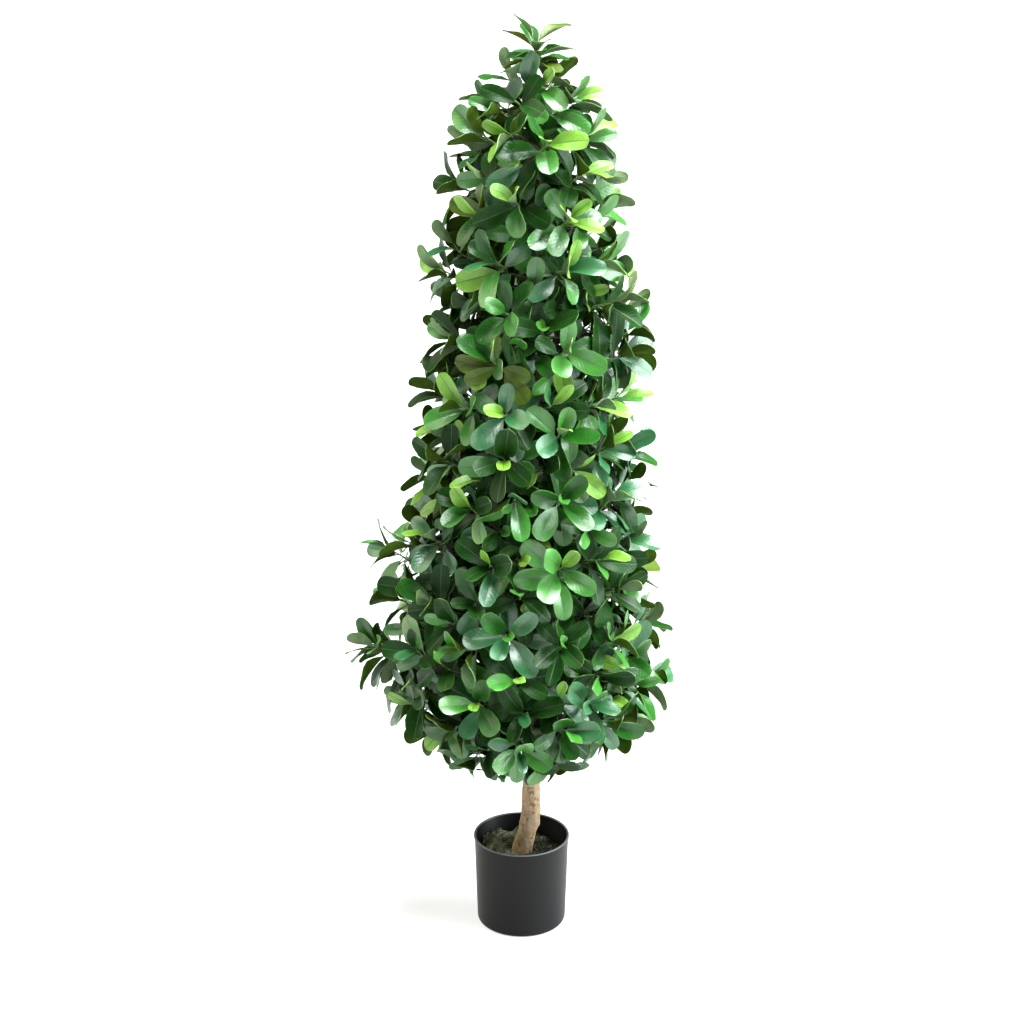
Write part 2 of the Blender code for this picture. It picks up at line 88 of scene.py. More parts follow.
# The moss: its level, its swells, heap, hollow and tufts, and the strands on it.
MOSS_LEVEL = MOSS_LOW.z + 0.0085
MOSS_SWELL = 0.0029
MOSS_HEAP = 0.0080
HEAP_PLACE = (-0.028, 0.016)
HEAP_WIDTH = 0.036
MOSS_HOLLOW = 0.0050
HOLLOW_FROM = 0.012
HOLLOW_RUN = 0.035
MOSS_TUFTS = ((0.0, 190.0, 0.0016), (0.2, 520.0, 0.0008))
MOSS_LEAST = 0.0006
STRANDS_FROM = 0.07
STRAND_LIFT = 0.85
STRAND_LIFTS = (0.05, 1.0)
STRAND_ARCH = 2.2
STRAND_SIZES = (0.6, 1.3)
STRAND_THICKNESS = 0.0006
STRAND_TAPER = (0.7, 1.0, 0.8, 0.3)
STRAND_MARGIN = 0.0015
SHRED_LENGTHS = (0.006, 0.013)
WISP_LENGTHS = (0.007, 0.015)

# The trunk's line, as the frame has it.
TRUNK_FOOT = TRUNK_LOW.z
TRUNK_TOP = TRUNK_HIGH.z
TRUNK_FOOT_RADIUS = 0.0130
TRUNK_TOP_RADIUS = 0.0060
FLARE_PROUD = 0.0022
FLARE_HEIGHT = 0.0120
FOOT_OFFSET = -0.0008
LEAN = 0.0130
LEAN_TOP = 0.158
DRIFT = 0.0060
WAVE = 0.0015
WAVE_BACK = 0.0009
WAVE_LENGTH = 0.50

# The bark: rings, knots, and its swellings, ridges and pores by scale across, along, and height.
BARK_RINGS = 230
RINGS_CLOSE_LOW = 1.35
KNOTS_FROM = 0.01
KNOTS_BELOW = 0.40
KNOTS_CLOSE_LOW = 1.3
KNOT_SIZES = (0.003, 0.006)
KNOT_REACH = 2.5
KNOT_SWELL = 0.0016
KNOT_EYE = 0.0012
EYE_NARROW = 7.0
BARK_RELIEF = ((45.0, 26.0, 0.0011), (190.0, 60.0, 0.00055), (520.0, 260.0, 0.00022))

# The crown's reach, as the frame's masses fill it; strays by azimuth, height and reach.
CROWN_BOTTOM = 0.222
WIDEST_AT = 0.380
WIDEST_REACH = 0.200
SHOULDER_AT = 1.070
SHOULDER_REACH = 0.114
TIP_FROM = 1.140
TIP_REACH = 0.058
CROWN_TOP = 1.200
CROWN_LEAN = 0.016
UNDERSIDE_DEPTH = 0.02
STRAY_SPRAYS = (
    (184.0, 0.395, 0.242),
    (174.0, 0.515, 0.224),
    (2.0, 0.345, 0.212),
    (-8.0, 0.800, 0.178),
    (12.0, 0.640, 0.180),
    (186.0, 0.885, 0.156),
    (180.0, 0.985, 0.134),
)
STRAY_WIDTH = 0.42
STRAY_HEIGHT = 0.055

# Tiers and sectors that the masses keep to.
TIER_NAMES = ("tier_1", "tier_2", "tier_3", "tier_4", "tier_5", "top")
TIER_RISE = 0.45
TIER_FLOORS = (-1.0, 0.325, 0.520, 0.715, 0.890, 1.040)
TIER_MASSES = (5, 5, 5, 4, 3, 1)
TIER_ROSETTES = (6, 5, 5, 5, 4, 6)
TIER_SHOOTS = (19, 18, 17, 17, 15, 16)
TIER_TURN = 41.0
CROWN_SEED = 27
SHOOT_SEED = 700
THICKET_CELL = 0.04

# Stems, twigs and the finer shoots on them.
STEM_RADIUS = 0.0034
TWIG_RADIUS = 0.0019
SHOOT_RADIUS = 0.0013
TIP_RADIUS = 0.0009
TOP_STEM_SHARE = 0.8
STEM_LEVEL_RUN = 0.010
STEM_SHARE = 0.50
STEM_START = 0.45
TWIG_START = 0.85
TWIG_START_SPREAD = 0.08
FIRST_TWIG = 0.34
LAST_TWIG = 0.98
TWIG_CLEARANCE = 0.0046
TRUNK_CLEARANCE = 0.002
GUARD_STEPS = 60
LEAST_BEND = 0.6
BEND_STEP = 0.3
FURTHER_IN = 0.006
GREEN_POINTS = 4

# Rosettes: where they sit under the crown's outline, and how they face.
ROSETTE_DEPTH = 0.060
ROSETTE_STALK = 0.026
ROSETTE_RISE = 0.12
ROSETTE_LIFT = 0.60
TWIG_FACING = {"spread": 0.2, "droop": 0.90}
SHOOT_FACING = {"spread": 0.45, "droop": 0.45}
TOP_LIFT = 1.20
ANCHOR_MARGIN = 0.016
CANDIDATES = 260
LEADER = 0.013
TOP_LEADER = 0.022
SHOOT_DEPTHS = (0.050, 0.125)
MOSTLY_SHALLOW = 1.6
SHOOT_STALK = 0.018
SHOOT_MARGIN = 0.004
GOLDEN_ANGLE = math.radians(137.5)

# Leaves in a rosette, from the newest at its tip to the oldest.
TWIG_LEAVES = 9
SHOOT_LEAVES = 7
FIRST_ROOT = 0.0010
LEAF_STEP = 0.0036
FIRST_OPENING = 15.0
LAST_OPENING = 88.0
OPENS_EARLY = 0.8
OPENING_SPREAD = 9.0
ROLL_SPREAD = 40.0
DROOP = 0.30
LEAF_TURNS = (0.0, 0.30, -0.30, 0.65, -0.65, 1.0)
LEAF_FITS = (1.0, 0.86)
LEAF_SPREAD = 0.18
SLIMNESS = (0.84, 1.03)
NEWEST_SIZE = 0.84
NEWEST_SLIMNESS = 0.84
YOUNG_FROM = 0.80
OVERHANG = -0.016

# The blade: its stalk, its outline, where it folds and opens out, and the lines of its mesh.
STALK_SHARE = 0.11
STALK_WIDTH = 0.030
OUTLINE_FOOT = 0.80
OUTLINE_TIP = 0.42
OUTLINE_MOST = 0.4559
TIP_ROUND = 0.055
FOLDS_FROM = 0.08
FOLDS_OVER = 0.22
FOLD_CURVE = 1.15
OPENS_FROM = 0.45
OPENS_OVER = 0.55
TIP_FOLD = 0.45
EDGE_DROP = 0.20
RIPPLES = 11.0
RIPPLE_LAG = 1.5
TWIST_SLANT = 0.6
LEAF_COLUMNS = (-1.0, -0.55, -0.045, 0.045, 0.55, 1.0)
LEAF_ROWS = (0.0, 0.11, 0.20, 0.34, 0.51, 0.69, 0.84, 0.94, 1.0)
COARSE_ROWS = (0.06, 0.22, 0.45, 0.75, 1.0)

# Forms that the leaves are dealt from: fold in degrees, bend, twist and ripple.
LEAF_FORMS = (
    (34.0, 0.10, 0.00, 0.05),
    (41.0, 0.18, 0.16, 0.04),
    (28.0, 0.06, -0.14, 0.07),
    (45.0, 0.13, -0.22, 0.03),
    (33.0, 0.27, 0.08, 0.06),
    (24.0, 0.16, 0.24, 0.09),
)

# The few leaves round the tree's tip: azimuth, opening, drop, size, slimness and tone.
LEADER_FORM = 1
LEADER_LEAVES = (
    (178.0, 26.0, 0.000, 0.80, 0.50, "young"),
    (186.0, 44.0, 0.007, 0.85, 0.80, "olive"),
    (34.0, 50.0, 0.002, 1.05, 0.86, "olive"),
    (110.0, 34.0, 0.012, 0.90, 0.90, "green"),
    (-75.0, 50.0, 0.013, 0.90, 0.95, "waxy"),
    (30.0, 60.0, 0.018, 1.05, 0.95, "green"),
    (-140.0, 64.0, 0.018, 0.85, 0.95, "deep"),
    (60.0, 74.0, 0.021, 0.90, 0.95, "green"),
    (150.0, 58.0, 0.023, 0.85, 0.90, "waxy"),
    (-50.0, 72.0, 0.026, 0.85, 0.95, "olive"),
    (-100.0, 52.0, 0.020, 0.80, 0.95, "fresh"),
    (-20.0, 62.0, 0.023, 0.80, 0.90, "green"),
    (-165.0, 70.0, 0.024, 0.80, 0.90, "olive"),
)

# Leaf tones: face, paler veins, roughness, sheen, and the underside and rib that go with them.
LEAF_MAP = "leaf"
SHEEN_TINT = (0.97, 1.0, 1.0)
UNDERSIDE_RELIEF = 1.4
# The tones are partly the leaves' own colours and partly painted light and shade, by where the
# sprays are dealt them.
TONES = {
    "deep": ((0.006, 0.038, 0.003), (0.018, 0.074, 0.009), 0.28, 0.14, "under_green", "rib_dark"),
    "green": ((0.009, 0.079, 0.004), (0.032, 0.142, 0.016), 0.22, 0.39, "under_green", "rib_dark"),
    "waxy": ((0.010, 0.108, 0.027), (0.056, 0.200, 0.070), 0.28, 1.00, "under_pale", "rib_pale"),
    "fresh": ((0.028, 0.168, 0.012), (0.082, 0.268, 0.044), 0.27, 0.90, "under_green", "rib_pale"),
    "young": ((0.140, 0.325, 0.028), (0.245, 0.450, 0.100), 0.32, 0.55, "under_pale", "rib_young"),
    "olive": ((0.062, 0.112, 0.006), (0.120, 0.175, 0.020), 0.29, 0.34, "under_olive", "rib_dark"),
}
UNDERSIDES = {
    "under_green": ((0.044, 0.086, 0.007), (0.078, 0.130, 0.018), 0.50, 0.08),
    "under_pale": ((0.140, 0.225, 0.098), (0.225, 0.305, 0.170), 0.52, 0.30),
    "under_olive": ((0.088, 0.112, 0.008), (0.140, 0.160, 0.026), 0.50, 0.12),
}
EDGES = {
    "rib_dark": (0.017, 0.057, 0.010),
    "rib_pale": (0.055, 0.140, 0.035),
    "rib_young": (0.060, 0.190, 0.012),
    "rim_green": (0.085, 0.190, 0.032),
    "rim_young": (0.215, 0.365, 0.060),
}

# How sprays get their tones: the depth that shade starts at, and the least weight of a tone.
SHADED_FROM = 0.066
LEAST_WEIGHT = 0.01
LEAST_REACH = 0.02

# Tones that a spray of one tone also has, and how often its leaves keep their own.
NEAR_TONES = {
    "deep": ("green", "deep", "waxy", "fresh"),
    "green": ("deep", "waxy", "fresh", "fresh"),
    "waxy": ("green", "waxy", "deep", "fresh"),
    "fresh": ("green", "young", "waxy", "green"),
    "olive": ("deep", "green", "fresh", "green"),
}
KEEPS_TONE = 0.66
KEEPS_OLIVE = 0.50
NEWEST_BRIGHT = 0.70
NEWEST_YOUNG = 0.54

# Floor, lights (toward, width in degrees, colour) and the camera, as the photograph was taken.
FLOOR_SIZE = 40.0
STUDIO_COLOUR = (1.0, 0.99, 0.93)
WALL_TOP = 0.09
LIGHTS = {
    "top": ((0.34, -0.07, 1.0), 50.0, (0.97, 0.99, 1.0)),
    "window": ((0.96, -0.16, 0.28), 38.0, (0.90, 0.97, 1.0)),
    "room": ((-0.85, 0.10, 0.70), 60.0, (1.0, 0.95, 0.74)),
}
CAMERA_PLACE = (-0.0127, -2.4, 1.368)
CAMERA_TILT = 71.8
CAMERA_LENS = 69.9
CAMERA_SENSOR = 36.0

Part = collections.namedtuple("Part", "points faces kinds")
Leaf = collections.namedtuple("Leaf", "shape frame tone")
Twig = collections.namedtuple("Twig", "points radii tip_from surface")


def mix(start, end, share):
    """The value at a share of the way from start to end."""
    return start + (end - start) * share


def smooth(share):
    """An eased share, level at 0 and at 1."""
    share = min(max(share, 0.0), 1.0)
    return share * share * (3.0 - 2.0 * share)


def outward(azimuth):
    """The level direction at an azimuth, 0 along +X."""
    return Vector((math.cos(azimuth), math.sin(azimuth), 0.0))


def scaled(colour, *factors):
    """A colour times one factor, or times one for each channel."""
    return [channel * factor for channel, factor in zip(colour, factors * 3)]


class Signal:
    """A node's output; sums on it add Math nodes."""

    def __init__(self, shading, socket):
        self.shading = shading
        self.socket = socket

    def sum(self, operation, first, second=0.0):
        return self.shading.add("ShaderNodeMath", {"operation": operation}, {0: first, 1: second})

    def __add__(self, other):
        return self.sum("ADD", self, other)

    def __sub__(self, other):
        return self.sum("SUBTRACT", self, other)

    def __rsub__(self, other):
        return self.sum("SUBTRACT", other, self)

    def __mul__(self, other):
        return self.sum("MULTIPLY", self, other)

    def __pow__(self, other):
        return self.sum("POWER", self, other)

    def __abs__(self):
        return self.sum("ABSOLUTE", self)

    __radd__ = __add__
    __rmul__ = __mul__

    def cosine(self):
        return self.sum("COSINE", self)

    def clipped(self, low, high):
        """The signal's stretch from low to high, as 0 to 1."""
        sockets = {"Value": self, "From Min": low, "From Max": high}
        return self.shading.add("ShaderNodeMapRange", {"interpolation_type": "SMOOTHSTEP"}, sockets)


class Shading:
    """A node tree under construction."""

    def __init__(self, tree):
        self.tree = tree

    def feed(self, socket, value):
        """Link a signal to a socket, or set its value."""
        if isinstance(value, Signal):
            self.tree.links.new(value.socket, socket)
        elif socket.type == "RGBA":
            socket.default_value = (*value, 1.0)
        else:
            socket.default_value = value

    def add(self, kind, settings=None, sockets=None, output=0):
        """Add a node of any kind: first its settings, then its sockets."""
        node = self.tree.nodes.new(kind)
        for name, value in (settings or {}).items():
            setattr(node, name, value)
        for name, value in (sockets or {}).items():
            self.feed(node.inputs[name], value)
        return Signal(self, node.outputs[output])

    def blend(self, share, first, second):
        """A colour between two, by a share."""
        return self.add("ShaderNodeMix", {"data_type": "RGBA"}, {0: share, 6: first, 7: second}, 2)

    def axis(self, place, name):
        """One coordinate of a place."""
        return self.add("ShaderNodeSeparateXYZ", None, {0: place}, name)


class Finish(Shading):
    """A material, built round its one Principled shader."""

    def __init__(self, name, constants=None):
        self.material = bpy.data.materials.new(name)
        self.material.use_nodes = True
        super().__init__(self.material.node_tree)
        self.shader = self.tree.nodes["Principled BSDF"]
        for socket, value in (constants or {}).items():
            self.feed(self.shader.inputs[socket], value)

    @functools.cached_property
    def place(self):
        """Where the surface lies, in the piece's own coordinates."""
        return self.add("ShaderNodeTexCoord", output="Object")

    def noise(self, scale, detail=2.0, roughness=0.5, stretch=None):
        """Noise over the surface, with its place stretched first where that is asked."""
        place = self.place
        if stretch:
            place = self.add("ShaderNodeMapping", None, {"Vector": place, "Scale": stretch})
        sockets = {"Vector": place, "Scale": scale, "Detail": detail, "Roughness": roughness}
        return self.add("ShaderNodeTexNoise", None, sockets, "Fac")

    def done(self, colour, roughness, height=None, strength=0.5, distance=0.0004):
        """Feed the colour, the roughness and any relief, and give the material."""
        self.feed(self.shader.inputs["Base Color"], colour)
        self.feed(self.shader.inputs["Roughness"], roughness)
        if height is not None:
            sockets = {"Height": height, "Strength": strength, "Distance": distance}
            self.feed(self.shader.inputs["Normal"], self.add("ShaderNodeBump", None, sockets))
        return self.material


def pot_finish(name, colour, specular):
    """Moulded plastic: faint flow marks up the wall, and a fine satin grain."""
    finish = Finish(name, {"Specular IOR Level": specular})
    flow = finish.noise(5.0, stretch=(9.0, 9.0, 1.2))
    grain = finish.noise(900.0)
    scuffs = finish.noise(34.0, 5.0, 0.7).clipped(0.62, 0.78)
    worn = [channel * 1.9 + 0.006 for channel in colour]
    shade = finish.blend(scuffs * 0.35 + flow * 0.25, colour, worn)
    return finish.done(shade, 0.36 + flow * 0.12 + grain * 0.05, grain + flow * 2.0, 0.18)


def cement_finish():
    """Poured cement: cloudy and pitted."""
    finish = Finish("cement")
    cloud = finish.noise(60.0, 6.0, 0.65)
    pits = finish.noise(420.0).clipped(0.35, 0.55)
    shade = finish.blend(cloud, (0.20, 0.195, 0.18), (0.42, 0.41, 0.38))
    return finish.done(shade, 0.82 + pits * 0.12, pits + cloud, 0.6, 0.0006)


def moss_finish(name, dark, light):
    """Dry moss: matt and blotched, with painted shade deep down and a painted shadow to the right.
    """
    finish = Finish(name)
    blotch = finish.noise(95.0, 4.0, 0.6).clipped(0.36, 0.62)
    fibre = finish.noise(700.0, stretch=(1.0, 1.0, 2.5))
    # Darker to the right is a painted shadow of the pot's wall; darker deep down is painted shade
    # in the hollows.
    right = finish.axis(finish.place, "X").clipped(-0.012, 0.022)
    deep = finish.axis(finish.place, "Z").clipped(MOSS_LOW.z + 0.018, MOSS_LOW.z + 0.003)
    shade = finish.blend(blotch, dark, light)
    shade = finish.blend(right * 0.85, shade, scaled(dark, 0.6))
    shade = finish.blend(deep * 0.95, shade, scaled(dark, 0.5))
    return finish.done(shade, 0.84 + fibre * 0.14, fibre)


def bark_finish(pale, dark):
    """Peeled bark: tan, with rust, long grain, brown specks and pores; paler and greyer at its foot
    as painted light, and darker higher up as painted shade.
    """
    finish = Finish("bark")
    cloud = finish.noise(38.0, 4.0, 0.6)
    grain = finish.noise(420.0, 3.0, stretch=(1.0, 1.0, 0.16))
    specks = finish.noise(190.0, 5.0, 0.75, (1.0, 1.0, 0.8)).clipped(0.54, 0.66)
    pores = finish.noise(460.0).clipped(0.60, 0.70)
    stains = finish.noise(22.0, 3.0).clipped(0.54, 0.74)
    rust = finish.noise(130.0, 4.0, 0.6, (1.0, 1.0, 0.7)).clipped(0.50, 0.64)
    height = finish.axis(finish.place, "Z")
    # Paler and greyer towards the foot: painted light that lifts the shade inside the pot.
    foot = height.clipped(TRUNK_FOOT + 0.060, TRUNK_FOOT + 0.010)
    layers = (
        (cloud.clipped(0.36, 0.60), scaled(pale, 0.86, 0.92, 1.12)),
        (foot, scaled(pale, 1.16, 1.20, 1.36)),
        (rust * 0.72, scaled(pale, 0.80, 0.64, 0.46)),
        (grain.clipped(0.40, 0.72) * 0.50, scaled(pale, 0.62)),
        (stains * 0.66, dark),
        (specks * 0.88, dark),
        (pores * 0.6, scaled(dark, 0.4)),
        # Darker from 0.30 m up, where the crown hangs round the trunk: painted shade.
        (height.clipped(0.30, 0.95) * 0.8, scaled(dark, 0.7)),
    )
    shade = pale
    for share, tint in layers:
        shade = finish.blend(share, shade, tint)
    relief = grain + cloud * 2.0 - specks * 1.2 - pores
    return finish.done(shade, 0.62 + specks * 0.2 + grain * 0.1, relief, 0.95, 0.0009)


def twig_finish(name, colour, paler, roughness):
    """Wire twigs wrapped in coated paper tape."""
    finish = Finish(name)
    wrap = finish.noise(300.0, stretch=(1.0, 1.0, 3.0))
    shade = finish.blend(wrap.clipped(0.35, 0.65), colour, scaled(colour, paler))
    return finish.done(shade, roughness + wrap * 0.15, wrap, 0.5, 0.0003)


def blade_finish(name, colour, paler, gloss, sheen, depth=1.0):
    """A leaf's face: herringbone veins, a paler margin, and soft blotches."""
    finish = Finish(name, {"Specular Tint": SHEEN_TINT, "Specular IOR Level": sheen})
    leaf = finish.add("ShaderNodeUVMap", {"uv_map": LEAF_MAP})
    along = finish.axis(leaf, "Y")
    side = abs(finish.axis(leaf, "X") * 2.0 - 1.0)
    veins = ((along * 58.0 - side * 17.0).cosine() * 0.5 + 0.5) ** 5.0
    margin = side.clipped(0.72, 1.0)
    foot = (1.0 - along).clipped(0.45, 1.0)
    blotch = finish.noise(75.0)
    pebble = finish.noise(420.0, 3.0, 0.6)
    dim = blotch.clipped(0.35, 0.65) * 0.6 + foot * 0.4
    shade = finish.blend(dim, colour, scaled(colour, 0.60))
    shade = finish.blend(veins * 0.09 * depth + margin * 0.28, shade, paler)
    relief = veins * -0.5 + blotch * 1.2 + pebble * 1.6
    return finish.done(shade, gloss + blotch * 0.14, relief, 0.34 * depth, 0.0005)


def edge_finish(name, colour):
    """A leaf's rib or rim."""
    finish = Finish(name)
    blotch = finish.noise(120.0)
    shade = finish.blend(blotch, colour, scaled(colour, 0.7))
    return finish.done(shade, 0.4 + blotch * 0.1)


def leaf_finishes():
    """Every leaf material by name, in the order of the leaves' slots."""
    finishes = {name: blade_finish("leaf_" + name, *tone[:4]) for name, tone in TONES.items()}
    for name, tone in UNDERSIDES.items():
        finishes[name] = blade_finish("leaf_" + name, *tone, UNDERSIDE_RELIEF)
    for name, colour in EDGES.items():
        finishes[name] = edge_finish("leaf_" + name, colour)
    return finishes


def placed(name, data):
    """A new object in the scene."""
    thing = bpy.data.objects.new(name, data)
    bpy.context.scene.collection.objects.link(thing)
    return thing


def new_piece(name, mesh, materials, nodes):
    """Put a finished mesh in the scene, on the body and for the nodes it stands for."""
    piece = placed(name, mesh)
    for material in materials:
        mesh.materials.append(material)
    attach(piece, "root")
    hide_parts(*nodes)


def finish_mesh(bm, name, sharp_angle=None):
    """Turn a bmesh's faces outward and make it a smooth-shaded mesh."""
    bmesh.ops.recalc_face_normals(bm, faces=bm.faces[:])
    mesh = bpy.data.meshes.new(name)
    bm.to_mesh(mesh)
    bm.free()
    mesh.shade_smooth()
    if sharp_angle:
        mesh.set_sharp_from_angle(angle=math.radians(sharp_angle))
    return mesh


def read_out(bm):
    """A bmesh's points and the corners of its faces."""
    bm.verts.index_update()
    points = np.array([vertex.co for vertex in bm.verts])
    return points, [[vertex.index for vertex in face.verts] for face in bm.faces]


def joined_mesh(name, parts, sharp_angle):
    """One smooth-shaded mesh of many small parts."""
    points, faces, kinds = [], [], []
    start = 0
    for part in parts:
        points.append(part.points)
        faces.extend([corner + start for corner in face] for face in part.faces)
        kinds.extend(part.kinds)
        start += len(part.points)
    mesh = bpy.data.meshes.new(name)
    mesh.from_pydata(np.concatenate(points).tolist(), [], faces)
    mesh.polygons.foreach_set("material_index", np.array(kinds, dtype=np.int32))
    mesh.shade_smooth()
    mesh.set_sharp_from_angle(angle=math.radians(sharp_angle))
    return mesh


def spun(profile, steps):
    """A bmesh turned about Z from a profile of (radius, height) points."""
    bm = bmesh.new()
    points = [bm.verts.new((radius, 0.0, height)) for radius, height in profile]
    edges = [bm.edges.new(pair) for pair in zip(points, points[1:])]
    geom = points + edges
    bmesh.ops.spin(bm, geom=geom, axis=UP, angle=math.tau, steps=steps, use_merge=True)
    bmesh.ops.remove_doubles(bm, verts=bm.verts[:], dist=0.00001)
    return bm


def tube(points, radii, sides, tip_from=None, level=False):
    """A bmesh of a round tube through points, capped at both ends.

    Its rings turn with the line, or stay level. Faces past the point tip_from take the
    second material.
    """
    bm = bmesh.new()
    headings = [UP if level else (b - a).normalized() for a, b in zip(points, points[1:])]
    headings.append(headings[-1])
    ring = bmesh.ops.create_circle(bm, cap_ends=True, segments=sides, radius=radii[0])["verts"]
    bmesh.ops.rotate(bm, verts=ring, matrix=UP.rotation_difference(headings[0]).to_matrix())
    bmesh.ops.translate(bm, verts=ring, vec=points[0])
    cap = ring[0].link_faces[0]
    foot = cap.edges[:]
    for i in range(1, len(points)):
        cap = bmesh.ops.extrude_discrete_faces(bm, faces=[cap])["faces"][0]
        verts = cap.verts[:]
        last = points[i - 1]
        scale = radii[i] / radii[i - 1]
        turn = headings[i - 1].rotation_difference(headings[i]).to_matrix()
        space = Matrix.Translation(-last)
        bmesh.ops.scale(bm, verts=verts, vec=(scale, scale, scale), space=space)
        bmesh.ops.rotate(bm, verts=verts, cent=last, matrix=turn)
        bmesh.ops.translate(bm, verts=verts, vec=points[i] - last)
        if tip_from is not None and i > tip_from:
            for face in {face for vertex in verts for face in vertex.link_faces}:
                face.material_index = 1
    bmesh.ops.contextual_create(bm, geom=foot)
    return bm


def tube_part(points, radii, sides, tip_from=None):
    """A tube as a part, to be joined with others."""
    bm = tube(points, radii, sides, tip_from)
    bmesh.ops.recalc_face_normals(bm, faces=bm.faces[:])
    part = Part(*read_out(bm), [face.material_index for face in bm.faces])
    bm.free()
    return part


def tapered(line, first, last):
    """A radius for each point of a line."""
    return [mix(first, last, i / (len(line) - 1)) for i in range(len(line))]


def curve_through(points, steps):
    """A smooth line through points, with steps lengths between each two."""
    ends = [points[0] * 2.0 - points[1], *points, points[-1] * 2.0 - points[-2]]
    line = []
    for a, b, c, d in zip(ends, ends[1:], ends[2:], ends[3:]):
        for i in range(steps):
            t = i / steps
            curve = a * (-t + 2 * t * t - t ** 3) + b * (2 - 5 * t * t + 3 * t ** 3)
            curve += c * (t + 4 * t * t - 3 * t ** 3) + d * (t ** 3 - t * t)
            line.append(curve * 0.5)
    line.append(points[-1].copy())
    return line


def arc(centre, reach, start, end, steps):
    """Points of a profile along an arc, from one angle in degrees to another."""
    angles = [math.radians(mix(start, end, i / steps)) for i in range(steps + 1)]
    return [(centre[0] + reach[0] * math.cos(angle), centre[1] + reach[1] * math.sin(angle))
            for angle in angles]


def pot_mesh(settings):
    """The cup: rolled lip, thin bead, drawn-in foot and inner wall."""
    wall, corner = settings.wall, settings.corner
    outer, height = POT_HIGH.x, POT_HIGH.z
    top = outer - settings.bead
    under_bead = height - settings.bead_height

    def radius(level):
        return mix(settings.foot_radius, top, level / height)

    inner_corner = radius(POT_FLOOR) - wall - POT_FLOOR
    profile = [(0.0, POT_FLOOR), (inner_corner, POT_FLOOR)]
    profile += [(radius(POT_FLOOR * 2.0) - wall, POT_FLOOR * 2.0)]
    lip = ((top - wall + outer) / 2.0, height - LIP_ROUND)
    profile += arc(lip, ((outer - top + wall) / 2.0, LIP_ROUND), 180.0, 0.0, 4)
    profile += [(outer, under_bead + BEAD_CORNER)]
    profile += [(radius(under_bead) + BEAD_FILLET[0], under_bead - BEAD_FILLET[1])]
    profile += arc((radius(corner) - corner, corner), (corner, -corner), 0.0, 90.0, 8)
    profile.append((0.0, 0.0))
    bm = spun(profile, settings.sides)
    # Faces on the lip band get the painted highlight, and faces inside the wall the painted shade.
    for face in bm.faces:
        middle = face.calc_center_median()
        if middle.z > height - LIP_BAND:
            face.material_index = 2
        elif middle.z > INSIDE_FROM and middle.xy.length < radius(middle.z) - wall / 2.0:
            face.material_index = 1
    return finish_mesh(bm, "pot_shell", POT_SHARP)


def moss_height(across, along):
    """The height of the moss at a place: heaped at the back left, hollow at the right."""
    swell = math.sin(across * 150.0 + 1.0) * math.cos(along * 130.0)
    fine = math.sin(across * 310.0) * math.sin(along * 280.0 + 2.0)
    from_heap = (across - HEAP_PLACE[0]) ** 2 + (along - HEAP_PLACE[1]) ** 2
    heap = math.exp(-from_heap / HEAP_WIDTH ** 2)
    hollow = smooth((across - HOLLOW_FROM) / HOLLOW_RUN)
    lump = MOSS_SWELL * (swell + 0.5 * fine) + MOSS_HEAP * heap - MOSS_HOLLOW * hollow
    tufts = sum(noise.noise(Vector((across, along, layer)) * scale) * tall
                for layer, scale, tall in MOSS_TUFTS)
    return MOSS_LEVEL + lump + tufts


def moss_bed_mesh(rings=26, sides=110):
    """The bed: a ring round the trunk, its top lumpy and its underside flat."""
    inner = TRUNK_FOOT_RADIUS + FLARE_PROUD * 0.4
    outer = MOSS_HIGH.x
    profile = [(mix(inner, outer, i / rings), MOSS_LEVEL) for i in range(rings + 1)]
    profile += [(outer, MOSS_LOW.z), (inner, MOSS_LOW.z), profile[0]]
    bm = spun(profile, sides)
    for vertex in bm.verts:
        if vertex.co.z > MOSS_LOW.z + GAP:
            height = moss_height(vertex.co.x, vertex.co.y)
            vertex.co.z = max(height, MOSS_LOW.z + MOSS_LEAST)
    return finish_mesh(bm, "moss_mat")


def moss_strand_mesh(name, count, seed, lengths, lowest=0.0):
    """Curled strands that lie on the bed, above a height, and stick up out of it."""
    draw = random.Random(seed)
    edge = MOSS_HIGH.x - STRAND_MARGIN
    clear = TRUNK_FOOT_RADIUS + TRUNK_CLEARANCE
    strands = []
    while len(strands) < count:
        start = outward(draw.uniform(0.0, math.tau))
        start *= edge * math.sqrt(draw.uniform(STRANDS_FROM, 1.0))
        along = outward(draw.uniform(0.0, math.tau))
        length = draw.uniform(*lengths)
        lift = draw.uniform(*STRAND_LIFTS) * STRAND_LIFT
        points = []
        for i in range(len(STRAND_TAPER)):
            share = i / (len(STRAND_TAPER) - 1)
            along = Matrix.Rotation(draw.uniform(-1.0, 1.0), 3, "Z") @ along
            point = start + along * length * share
            arch = lift * length * math.sin(STRAND_ARCH * share)
            point.z = moss_height(point.x, point.y) + MOSS_LEAST + arch
            points.append(point)
        fits = all(clear < math.hypot(point.x, point.y) < edge for point in points)
        if fits and points[0].z >= lowest:
            thick = STRAND_THICKNESS * draw.uniform(*STRAND_SIZES)
            radii = [thick * share for share in STRAND_TAPER]
            strands.append(tube_part(points, radii, STRAND_SIDES))
    return joined_mesh(name, strands, TUBE_SHARP)


def trunk_centre(height):
    """The middle of the trunk at a height."""
    lean = LEAN * smooth((height - TRUNK_FOOT) / (LEAN_TOP - TRUNK_FOOT))
    risen = max(height - LEAN_TOP, 0.0)
    drift = DRIFT * risen / (TRUNK_TOP - LEAN_TOP)
    wave = math.sin(math.tau * risen / WAVE_LENGTH)
    return Vector((FOOT_OFFSET + lean + drift + WAVE * wave, WAVE_BACK * wave, height))


def trunk_radius(height):
    """The trunk tapers evenly, and spreads a little at its foot."""
    share = min(max((height - TRUNK_FOOT) / (TRUNK_TOP - TRUNK_FOOT), 0.0), 1.0)
    flare = FLARE_PROUD * math.exp((TRUNK_FOOT - height) / FLARE_HEIGHT)
    return mix(TRUNK_FOOT_RADIUS, TRUNK_TOP_RADIUS, share) + min(flare, FLARE_PROUD)


